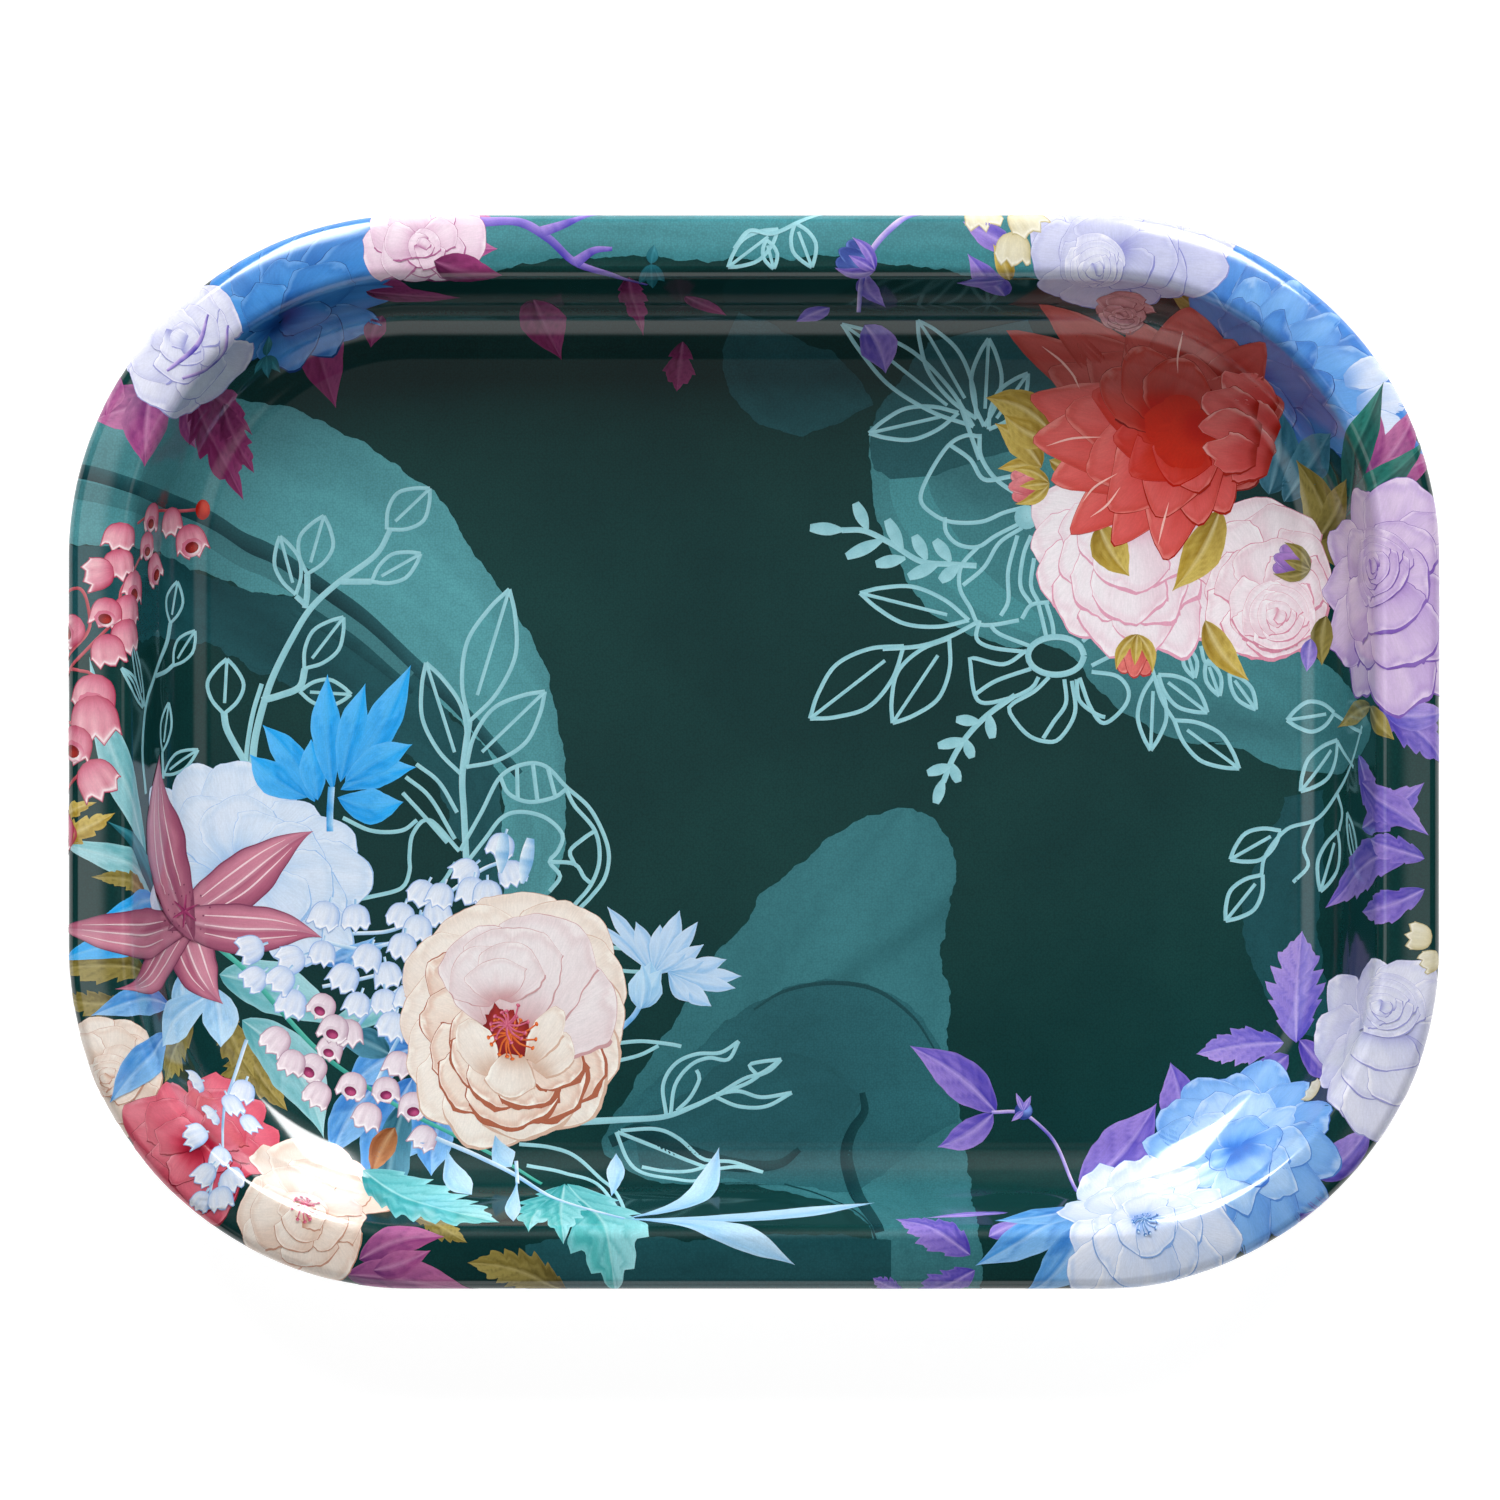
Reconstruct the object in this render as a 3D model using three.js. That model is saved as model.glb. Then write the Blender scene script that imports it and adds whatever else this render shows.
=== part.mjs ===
// A small pressed tinplate tray with a printed floral face and a wired edge.
//
// One sheet is stamped into a flat base, a concave fillet, a flared wall, a rounded shoulder and a
// gently domed rim, and its edge is then rolled round a steel wire. The printed coat lies on the
// sheet's upper face and follows it round the bead to the cut edge.
//
// Millimetres, +Z up, +X along the length. The origin is on the table, under the middle of the base.

import * as THREE from "three";

// ---- Driving dimensions -------------------------------------------------------------------------

const LENGTH = 180; // over the rim, along X
const WIDTH = 141; // over the rim, along Y
const HEIGHT = 15; // from the table to the crest of the rim
const CORNER_RADIUS = 45; // of the outer edge, in plan

const SHEET = 0.35; // tinplate
const COAT = 0.05; // undercoat, printed inks and varnish together

const BASE_INSET = 19; // from the outer edge to where the flat base ends
const FILLET_RADIUS = 8; // base to wall
const SHOULDER_RADIUS = 2; // wall to crest
const RIM_RADIUS = 25; // the domed rim, from the crest out to the bead
const RIM_FALL = THREE.MathUtils.degToRad(12); // how far the rim has tilted where the bead begins

const WIRE_DIAMETER = 2.2;
const WIRE_CLEARANCE = 0.3;
const BEAD_WRAP = THREE.MathUtils.degToRad(280); // how far the sheet is rolled round the wire
const WIRE_BUTT_GAP = 0.6; // between the wire's two ends, where it is butted

const CORNER_STEPS = 12; // flats round each quarter circle in plan
const FILLET_STEPS = 5;
const SHOULDER_STEPS = 4;
const RIM_STEPS = 2;
const BEAD_STEPS = 12;
const WIRE_SIDES = 10;

// ---- Sizes that follow from them ----------------------------------------------------------------

const BEAD_RADIUS = WIRE_DIAMETER / 2 + WIRE_CLEARANCE + SHEET + COAT; // to the coat's surface
const FACE_HEIGHT = SHEET + COAT; // of the coated base above the table

// A section's radius is measured from the line that joins the centres of the plan's corners.
const BASE_EDGE = CORNER_RADIUS - BASE_INSET;
const CREST = CORNER_RADIUS - BEAD_RADIUS - (RIM_RADIUS - BEAD_RADIUS) * Math.sin(RIM_FALL);
const BEAD_CENTRE = new THREE.Vector2(
  CORNER_RADIUS - BEAD_RADIUS,
  HEIGHT - RIM_RADIUS + (RIM_RADIUS - BEAD_RADIUS) * Math.cos(RIM_FALL),
);
const FILLET_CENTRE = new THREE.Vector2(BASE_EDGE, FACE_HEIGHT + FILLET_RADIUS);
const SHOULDER_CENTRE = new THREE.Vector2(CREST, HEIGHT - SHOULDER_RADIUS);

// The wall is the straight line that touches the fillet on one side and the shoulder on the other.
const BETWEEN_CENTRES = SHOULDER_CENTRE.clone().sub(FILLET_CENTRE);
const WALL_ANGLE =
  BETWEEN_CENTRES.angle() + Math.asin((FILLET_RADIUS + SHOULDER_RADIUS) / BETWEEN_CENTRES.length());

// ---- Section ------------------------------------------------------------------------------------

/** Points along an arc about a centre, from one angle to another, both ends included. */
function arc(centre, radius, from, to, steps) {
  const curve = new THREE.EllipseCurve(centre.x, centre.y, radius, radius, from, to, to < from);
  return curve.getPoints(steps);
}

/**
 * The section of the surface that lies a given depth below the finished face, as points of
 * (radius, height), from the edge of the base outwards to the sheet's cut edge.
 */
function sectionAt(depth) {
  const up = Math.PI / 2;
  return [
    ...arc(FILLET_CENTRE, FILLET_RADIUS + depth, -up, WALL_ANGLE - up, FILLET_STEPS),
    ...arc(SHOULDER_CENTRE, SHOULDER_RADIUS - depth, WALL_ANGLE + up, up, SHOULDER_STEPS),
    ...arc(new THREE.Vector2(CREST, HEIGHT - RIM_RADIUS), RIM_RADIUS - depth, up, up - RIM_FALL, RIM_STEPS)
      .slice(1, -1),
    ...arc(BEAD_CENTRE, BEAD_RADIUS - depth, up - RIM_FALL, up - RIM_FALL - BEAD_WRAP, BEAD_STEPS),
  ];
}

// ---- Plan ---------------------------------------------------------------------------------------

/** Stations round the plan, anticlockwise from +X: a corner's centre and the way out from it. */
function planStations() {
  const stations = [];
  for (let quarter = 0; quarter < 4; quarter++) {
    const middle = (quarter + 0.5) * (Math.PI / 2);
    const centre = new THREE.Vector2(
      Math.sign(Math.cos(middle)) * (LENGTH / 2 - CORNER_RADIUS),
      Math.sign(Math.sin(middle)) * (WIDTH / 2 - CORNER_RADIUS),
    );
    for (let step = 0; step <= CORNER_STEPS; step++) {
      const angle = (quarter + step / CORNER_STEPS) * (Math.PI / 2);
      stations.push({ centre, outwards: new THREE.Vector2(Math.cos(angle), Math.sin(angle)) });
    }
  }
  return stations;
}

/** The point at a station that a section's point stands for. */
function placed({ centre, outwards }, { x: radius, y: height }) {
  return new THREE.Vector3(centre.x + radius * outwards.x, centre.y + radius * outwards.y, height);
}

// ---- Solids -------------------------------------------------------------------------------------

/** Triangles that close a convex ring, laid as a zigzag strip between its two halves. */
function zigzagCap(first, count, facing) {
  const triangles = [];
  for (let low = 0, high = count - 1; high - low > 1; ) {
    const next = triangles.length % 2 ? high - 1 : low + 1;
    triangles.push([low, next, high]);
    if (next === low + 1) low = next;
    else high = next;
  }
  return triangles.flatMap(([a, b, c]) => (facing > 0 ? [a, b, c] : [c, b, a]).map((i) => first + i));
}

/** A closed body through a list of rings of equal length, with a flat cap on its first and last. */
function skin(rings) {
  const count = rings[0].length;
  const index = [];
  for (let ring = 0; ring + 1 < rings.length; ring++) {
    for (let i = 0; i < count; i++) {
      const a = ring * count + i;
      const b = ring * count + ((i + 1) % count);
      index.push(a, a + count, b, b, a + count, b + count);
    }
  }
  index.push(...zigzagCap(0, count, 1), ...zigzagCap((rings.length - 1) * count, count, -1));
  const geometry = new THREE.BufferGeometry().setFromPoints(rings.flat());
  geometry.setIndex(index);
  geometry.computeVertexNormals();
  return geometry;
}

/** The part of the sheet, or of what coats it, between two depths below the finished face. */
function layer(upper, lower) {
  const stations = planStations();
  const section = [...sectionAt(upper), ...sectionAt(lower).reverse()];
  return skin(section.map((point) => stations.map((station) => placed(station, point))));
}

/** The edge wire: a round rod bent into a loop, with its ends butted halfway along the front. */
function wireLoop() {
  const corners = planStations();
  const front = { centre: new THREE.Vector2(0, corners.at(-1).centre.y), outwards: new THREE.Vector2(0, -1) };
  const shifted = (x) => ({ ...front, centre: front.centre.clone().setX(x) });
  const frontRight = CORNER_STEPS + 1; // the last quarter's stations lie right of the front's middle
  const path = [
    shifted(WIRE_BUTT_GAP / 2),
    ...corners.slice(-frontRight),
    ...corners.slice(0, -frontRight),
    shifted(-WIRE_BUTT_GAP / 2),
  ];
  const round = arc(BEAD_CENTRE, WIRE_DIAMETER / 2, 0, 2 * Math.PI, WIRE_SIDES).slice(0, -1);
  return skin(path.map((station) => round.map((point) => placed(station, point))));
}

// ---- Materials ----------------------------------------------------------------------------------

const tinplate = new THREE.MeshStandardMaterial({ color: 0xb9bcbe, roughness: 0.35, metalness: 1 });
const darkGreenPrint = new THREE.MeshStandardMaterial({ color: 0x17403e, roughness: 0.12, metalness: 0 });
const galvanisedWire = new THREE.MeshStandardMaterial({ color: 0x8f9396, roughness: 0.45, metalness: 1 });

// ---- Assembly -----------------------------------------------------------------------------------

function part(name, geometry, material) {
  const mesh = new THREE.Mesh(geometry, material);
  mesh.name = name;
  return mesh;
}

const tray = new THREE.Group();
tray.name = "floral_tray";
tray.add(part("pressed_pan", layer(COAT, COAT + SHEET), tinplate));
tray.add(part("printed_coat", layer(0, COAT), darkGreenPrint));
tray.add(part("rim_wire", wireLoop(), galvanisedWire));

export default tray;
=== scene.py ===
"""A small pressed tinplate tray with a printed floral face, seen from straight above.

The tray's face is one smooth surface. Its picture is made of patches of ink: every petal, leaf, stem
and wash is a small mesh of its own, drawn in millimetres on the flat sheet before it is pressed, and
then draped over the pressed face. A patch carries its colour and its grain as attributes, which one
set of printing materials reads.
"""

import math

import bpy
import numpy as np
from mathutils import Matrix, Vector


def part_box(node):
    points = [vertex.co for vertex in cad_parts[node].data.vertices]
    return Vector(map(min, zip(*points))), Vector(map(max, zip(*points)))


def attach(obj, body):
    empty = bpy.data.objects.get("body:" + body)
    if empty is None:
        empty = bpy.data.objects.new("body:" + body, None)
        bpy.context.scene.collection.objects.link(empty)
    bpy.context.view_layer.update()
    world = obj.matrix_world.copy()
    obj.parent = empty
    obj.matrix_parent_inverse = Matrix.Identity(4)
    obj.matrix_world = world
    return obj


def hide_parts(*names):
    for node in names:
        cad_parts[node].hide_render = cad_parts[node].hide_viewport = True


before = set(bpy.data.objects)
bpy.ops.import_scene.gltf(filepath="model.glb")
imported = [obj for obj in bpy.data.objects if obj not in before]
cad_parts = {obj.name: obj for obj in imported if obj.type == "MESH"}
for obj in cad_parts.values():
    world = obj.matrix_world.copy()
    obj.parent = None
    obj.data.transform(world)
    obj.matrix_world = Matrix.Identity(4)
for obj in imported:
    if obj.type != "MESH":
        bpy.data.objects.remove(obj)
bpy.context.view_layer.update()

# ---- Sizes, in millimetres ----------------------------------------------------------------------

MM = 0.001
low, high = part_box("printed_coat")
LENGTH = (high.x - low.x) / MM
WIDTH = (high.y - low.y) / MM
HEIGHT = high.z / MM

SHEET = 0.35
COAT = 0.05
CORNER_RADIUS = 45.0
BASE_RADIUS = CORNER_RADIUS - 19.0
FILLET_RADIUS = 8.0
SHOULDER_RADIUS = 2.0
RIM_RADIUS = 25.0
RIM_FALL = math.radians(12)
BEAD_RADIUS = 1.8
BEAD_WRAP = math.radians(280)
CORE = np.array([LENGTH / 2 - CORNER_RADIUS, WIDTH / 2 - CORNER_RADIUS])

BARE_EDGE = 0.15  # of the sheet's cut edge, where the print stops short of it

LAYER = 0.005  # thickness of one coat of ink on the flat base
BEND_LAYER = 1.6  # how much thicker it is on the bends, as a share
BEND_WIDTH = 8.0  # over which it thickens, outwards from the base
CELL = 0.5  # of the map that keeps count of the coats of ink
RIM_WIDTH = 17.0  # of the part of the flat sheet where patches need a finer grid
FINE_STEP = 0.4  # between points of a patch there
CURVE_STEP = 0.5  # between points of a smooth curve

FRAME_WIDTH = 196.8  # what the camera sees at the height of the rim
FRAME_MIDDLE = (-0.52, 0.26)


# ---- The pressed face ---------------------------------------------------------------------------

def section():
    """The face's section: distance along it from the base's edge, radius, height and normal."""
    rim_z = HEIGHT - RIM_RADIUS
    crest = CORNER_RADIUS - BEAD_RADIUS - (RIM_RADIUS - BEAD_RADIUS) * math.sin(RIM_FALL)
    bead_z = rim_z + (RIM_RADIUS - BEAD_RADIUS) * math.cos(RIM_FALL)
    fillet = np.array([BASE_RADIUS, SHEET + COAT + FILLET_RADIUS])
    shoulder = np.array([crest, HEIGHT - SHOULDER_RADIUS])
    across = shoulder - fillet
    wall = math.atan2(across[1], across[0])
    wall += math.asin((FILLET_RADIUS + SHOULDER_RADIUS) / np.hypot(*across))
    up = math.pi / 2
    arcs = [
        (fillet, FILLET_RADIUS, -up, wall - up, -1),
        (shoulder, SHOULDER_RADIUS, wall + up, up, 1),
        ((crest, rim_z), RIM_RADIUS, up, up - RIM_FALL, 1),
        ((CORNER_RADIUS - BEAD_RADIUS, bead_z), BEAD_RADIUS, up - RIM_FALL, up - RIM_FALL - BEAD_WRAP, 1),
    ]
    points = []
    normals = []
    for centre, radius, start, end, side in arcs:
        angle = np.linspace(start, end, 240)
        ray = np.stack([np.cos(angle), np.sin(angle)], 1)
        points.append(np.asarray(centre) + radius * ray)
        normals.append(side * ray)
    points = np.concatenate(points)
    normals = np.concatenate(normals)
    steps = np.hypot(*np.diff(points, axis=0).T)
    along = np.concatenate([[0], np.cumsum(steps)])
    return along, points, normals


ALONG, SECTION, NORMALS = section()
SILHOUETTE = int(np.argmax(SECTION[:, 0]))
SHEET_EDGE = ALONG[-1] - BARE_EDGE


def split(xy):
    """Each point's nearest point of the core rectangle, its distance from it, and the way out."""
    core = np.clip(xy, -CORE, CORE)
    away = xy - core
    reach = np.hypot(away[..., 0], away[..., 1])
    out = away / np.maximum(reach, 1e-9)[..., None]
    return core, reach, out


def flat(x, y):
    """The point of the flat sheet that ends up at plan position x, y once the tray is pressed.

    A position past the tray's outline goes on round the bead.
    """
    core, reach, out = split(np.array([x, y], float))
    if reach > BASE_RADIUS:
        radii = SECTION[:SILHOUETTE, 0]
        past = max(0, reach - CORNER_RADIUS)
        reach = BASE_RADIUS + np.interp(reach, radii, ALONG[:SILHOUETTE]) + past
    return core + out * reach


def drape(xy, lift):
    """Points of the flat sheet as points in space at a lift above the face, with their normals."""
    core, reach, out = split(xy)
    along = np.clip(reach - BASE_RADIUS, 0, SHEET_EDGE)
    on_base = reach <= BASE_RADIUS
    radius = np.where(on_base, reach, np.interp(along, ALONG, SECTION[:, 0]))
    height = np.where(on_base, SHEET + COAT, np.interp(along, ALONG, SECTION[:, 1]))
    lean = np.where(on_base, 0, np.interp(along, ALONG, NORMALS[:, 0]))
    rise = np.where(on_base, 1, np.interp(along, ALONG, NORMALS[:, 1]))
    normal = np.concatenate([out * lean[..., None], rise[..., None]], -1)
    normal /= np.linalg.norm(normal, axis=-1, keepdims=True)
    point = np.concatenate([core + out * radius[..., None], height[..., None]], -1)
    return point + normal * lift[..., None], normal


# ---- Meshes -------------------------------------------------------------------------------------

def mesh_object(name, points, faces, normals=None, smooth=True):
    """A mesh object from points in millimetres and a list or array of faces."""
    mesh = bpy.data.meshes.new(name)
    faces = [face.tolist() if isinstance(face, np.ndarray) else list(face) for face in faces]
    mesh.from_pydata((np.asarray(points) * MM).tolist(), [], faces)
    mesh.polygons.foreach_set("use_smooth", [smooth] * len(mesh.polygons))
    if normals is not None:
        mesh.normals_split_custom_set_from_vertices(np.asarray(normals).tolist())
    mesh.update()
    thing = bpy.data.objects.new(name, mesh)
    bpy.context.scene.collection.objects.link(thing)
    return thing


def smooth_step(value):
    """From 0 to 1 as a value goes from 0 to 1, level at both ends."""
    value = np.clip(value, 0, 1)
    return value * value * (3 - 2 * value)


def mix(a, b, amount):
    """A colour between two, or a colour at each point where the amount is an array."""
    amount = np.asarray(amount)[..., None]
    return a + (b - a) * amount


def shade(code):
    """A colour as red, green and blue from 0 to 1, from its six-digit code."""
    return np.array([int(code[i:i + 2], 16) / 255 for i in (0, 2, 4)])


def linear(colour):
    """A colour as the renderer counts it, from the values it is seen as."""
    return colour ** 2.2


def tones(*codes):
    """The tones that a shape is painted in."""
    return [shade(code) for code in codes]


def wobble(x, seed):
    """A smooth, repeatable wander between about -1 and 1."""
    return (np.sin(x * 2.1 + seed * 1.7) + 0.6 * np.sin(x * 4.7 + seed * 3.1)
            + 0.4 * np.sin(x * 9.3 + seed * 5.3)) / 2


def direction(heading):
    """The unit vector along a heading."""
    return np.array([math.cos(heading), math.sin(heading)])


def right_of(way):
    """A vector turned a quarter to its right."""
    return np.array([way[1], -way[0]])


def ways(path):
    """Unit vectors along a path and to its right, at each of its points."""
    way = np.gradient(path, axis=0)
    way /= np.maximum(np.hypot(way[:, 0], way[:, 1]), 1e-9)[:, None]
    return way, np.stack([way[:, 1], -way[:, 0]], 1)


class Coats:
    """How many coats of ink lie on each part of the sheet, so that a new patch lies over them all."""

    half = np.array([112.0, 92.0])  # of the map of the flat sheet
    count = np.zeros((int(2 * half[0] / CELL), int(2 * half[1] / CELL)), np.float32)
    near = 2  # cells on every side that count as under a point

    @classmethod
    def lay(cls, xy):
        """The level of each point of a new patch, counted in coats. The patch then counts as one."""
        cells = ((xy + cls.half) / CELL).astype(int)
        cells = np.clip(cells, cls.near + 1, np.array(cls.count.shape) - cls.near - 2)
        low = cells.reshape(-1, 2).min(0) - cls.near
        high = cells.reshape(-1, 2).max(0) + cls.near + 1
        part = cls.count[low[0] - 1:high[0] + 1, low[1] - 1:high[1] + 1]
        for axis in (0, 1):
            spread = part.copy()
            for step in range(1, cls.near + 1):
                for way in (-step, step):
                    spread = np.maximum(spread, np.roll(part, way, axis))
            part = spread
        place = cells - (low - 1)
        level = part[place[..., 0], place[..., 1]] + 1
        np.maximum.at(cls.count, (cells[..., 0].ravel(), cells[..., 1].ravel()), level.ravel())
        return level


def finer(values):
    """The same grid of values with one more between each two."""
    for axis in (0, 1):
        rows = np.moveaxis(values, axis, 0)
        doubled = np.empty((2 * len(rows) - 1, *rows.shape[1:]))
        doubled[::2] = rows
        doubled[1::2] = (rows[1:] + rows[:-1]) / 2
        values = np.moveaxis(doubled, 0, axis)
    return values


class Ink:
    """The patches of ink that make up one piece of the picture."""

    def __init__(self, name, material="print_petal"):
        self.name = name
        self.material = material
        self.points = []
        self.colours = []
        self.grain = []
        self.levels = []
        self.quads = []
        self.total = 0

    def patch(self, xy, colour, grain):
        """A grid of points, rows by columns, with a colour and a grain at each, over what is there."""
        grids = [xy] + [np.broadcast_to(value, (*xy.shape[:2], 3)) for value in (colour, grain)]
        step = max(np.abs(np.diff(xy, axis=axis)).max() for axis in (0, 1))
        if split(xy)[1].max() - BASE_RADIUS > SHEET_EDGE - RIM_WIDTH and step > FINE_STEP:
            grids = [finer(values) for values in grids]
        xy, colour, grain = grids
        rows, columns = xy.shape[:2]
        index = np.arange(rows * columns).reshape(rows, columns) + self.total
        quads = np.stack([index[:-1, :-1], index[:-1, 1:], index[1:, 1:], index[1:, :-1]], -1)
        quads = quads.reshape(-1, 4)
        one, other = xy[1:, 1:] - xy[:-1, :-1], xy[1:, :-1] - xy[:-1, 1:]
        if (one[..., 0] * other[..., 1] - one[..., 1] * other[..., 0]).sum() < 0:
            quads = quads[:, ::-1]
        self.points.append(xy.reshape(-1, 2))
        self.colours.append(np.broadcast_to(colour, (rows, columns, 3)).reshape(-1, 3))
        self.levels.append(Coats.lay(xy).reshape(-1))
        self.grain.append(np.broadcast_to(grain, (rows, columns, 3)).reshape(-1, 3))
        self.quads.append(quads)
        self.total += rows * columns

    def finish(self):
        """The piece's mesh, draped over the face, riding on the tray."""
        xy = np.concatenate(self.points)
        quads = np.concatenate(self.quads)
        reach = split(xy)[1] - BASE_RADIUS
        quads = quads[reach[quads].min(1) < SHEET_EDGE]
        bends = 1 + BEND_LAYER * smooth_step(reach / BEND_WIDTH)
        lift = (np.concatenate(self.levels) + 1) * LAYER * bends
        points, normals = drape(xy, lift)
        used = np.zeros(len(points), bool)
        used[quads] = True
        renumber = np.cumsum(used) - 1
        piece = mesh_object(self.name, points[used], renumber[quads], normals[used])
        colours = linear(np.clip(np.concatenate(self.colours)[used], 0, 1))
        colours = np.column_stack([colours, np.ones(len(colours))])
        self.attribute(piece, "ink", "FLOAT_COLOR", colours, "color")
        self.attribute(piece, "grain", "FLOAT_VECTOR", np.concatenate(self.grain)[used], "vector")
        piece.data.materials.append(bpy.data.materials[self.material])
        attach(piece, "root")
        return piece

    @staticmethod
    def attribute(piece, name, kind, values, field):
        """A value at each point of a piece, for its material to read."""
        layer = piece.data.attributes.new(name, kind, "POINT")
        layer.data.foreach_set(field, np.asarray(values, np.float32).reshape(-1))


def ring_mesh(name, depths, rows, corner_steps):
    """The closed body between two depths below the face, from the base's middle to the cut edge."""
    angles = np.linspace(0, math.pi / 2, corner_steps + 1)
    turn = np.concatenate([angles + quarter * math.pi / 2 for quarter in range(4)])
    sign_x = np.repeat([1, -1, -1, 1], corner_steps + 1)
    sign_y = np.repeat([1, 1, -1, -1], corner_steps + 1)
    core = np.stack([sign_x * CORE[0], sign_y * CORE[1]], 1)
    out = np.stack([np.cos(turn), np.sin(turn)], 1)
    inner = np.linspace(2, BASE_RADIUS, 8)
    outer = BASE_RADIUS + np.interp(np.linspace(0, len(ALONG) - 1, rows), np.arange(len(ALONG)), ALONG)
    reaches = np.concatenate([inner, outer[1:]])
    points = []
    normals = []
    for depth, order in zip(depths, (reaches, reaches[::-1])):
        for reach in order:
            xy = core + out * reach
            facing = 1 if depth == depths[0] else -1
            place, normal = drape(xy, np.full(len(xy), -depth))
            points.append(place)
            normals.append(normal * facing)
    count = len(turn)
    index = np.arange(len(points) * count).reshape(-1, count)
    nearer, further = index[:-1], index[1:]
    quads = np.stack([nearer, further, np.roll(further, -1, 1), np.roll(nearer, -1, 1)], -1).reshape(-1, 4)
    faces = list(quads) + [list(index[0]), list(index[-1][::-1])]
    return mesh_object(name, np.concatenate(points), faces, np.concatenate(normals))


# ---- Brushwork: shapes of ink -------------------------------------------------------------------

LIGHT_HEADING = math.radians(115)


def grid(rows, columns):
    """Places along and across a patch, closer together towards its far end and its sides.

    Past 1 they are in the shadow that the patch throws beside itself.
    """
    t = 1 - (1 - np.linspace(0, 1, rows)) ** 1.25
    s = np.sin(np.linspace(-1, 1, columns) * math.pi / 2)
    t = np.concatenate([t, [1.01, 2]])
    s = np.concatenate([[-2, -1.01], s, [1.01, 2]])
    return np.meshgrid(t, s, indexing="ij")


def turned(x, y, at, heading):
    """Points given across and along a heading, placed on the sheet."""
    c, s = math.cos(heading), math.sin(heading)
    return np.stack([at[0] + y * c + x * s, at[1] + y * s - x * c], -1)


def grain_of(across, along, seed):
    """Where the brush's streaks are read at each point, so that they run along a shape."""
    return np.stack([across, along, np.full_like(across, seed)], -1)


def heading_of(start, end):
    """The heading from one point to another."""
    return math.atan2(end[1] - start[1], end[0] - start[0])


def distance(start, end):
    """How far one point is from another."""
    return math.hypot(end[0] - start[0], end[1] - start[1])


def petal_end(s, seed, droop, sharp, ruffle, lobes, spike):
    """A petal's length at each place across it, as a share, and the wave that runs along its end."""
    lobe = lobes * (s + 0.25 * wobble(s * 1.3 + seed, seed))
    wave = 0.7 * np.cos(math.pi * lobe + seed * 7) + 0.3 * wobble(s * 2.4, seed)
    point = 1 - 2 * np.abs((0.5 * lobe + seed) % 1 - 0.5)
    height = 0.7 + 0.3 * wobble(s * 1.9, seed * 2 + 1)
    top = 1 - droop * np.abs(s) ** sharp + ruffle * wave + spike * height * (point ** 0.8 - 0.6)
    return top, wave


def petal_colour(tone, t, s, wave, ahead, aside, seed, under=0.4, veins=3, lip=0.6, crease=0.3, glow=0.08):
    """A petal's colour: deep at its root, paler outwards, veined and creased, its lip catching light."""
    deep, mid, light, rim = tone[:4]
    facing = s * aside
    colour = mix(tone[-1] if len(tone) > 4 else deep, deep, smooth_step(t / 0.25))
    colour = mix(colour, mid, smooth_step((t - glow) / 0.4))
    lit = 0.68 + 0.17 * ahead + 0.35 * facing
    colour = mix(colour, light, smooth_step((t - glow - 0.17) / 0.5) * lit)
    streak = np.sin(s * veins * math.pi * 2 + 2 * wobble(t * 3, seed)) * smooth_step(t * 3) * (1.05 - t)
    colour = mix(colour, deep, 0.16 * np.clip(streak, 0, 1) + 0.15 * np.clip(-wave, 0, 1) * t ** 3)
    colour = mix(colour, deep, under * smooth_step((-s - 0.05) / 0.95) * (1 - 0.4 * t))
    colour = mix(colour, deep, 0.25 * np.clip(-facing, 0, 1) * t)
    ridge = s - 0.45 * math.sin(seed * 5) - 0.3 * np.sin(t * 2.5 + seed)
    colour = mix(colour, deep, crease * np.exp(-(ridge / 0.13) ** 2) * smooth_step(1.1 - t))
    colour = mix(colour, light, crease * np.exp(-((ridge - 0.25) / 0.16) ** 2) * smooth_step(t * 2))
    curl = 0.015 + 0.11 * np.clip(wobble(s * 1.7 + seed, seed + 2), 0, 1)
    colour = mix(colour, deep, lip * 0.45 * smooth_step((t - 1 + curl + 0.1) / 0.08))
    side = smooth_step((np.abs(s) - 0.9) / 0.07) * smooth_step(t * 2) * (0.3 + 0.7 * (facing > 0))
    return mix(colour, rim, lip * np.maximum(smooth_step((t - 1 + curl) / 0.03), side))


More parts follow.
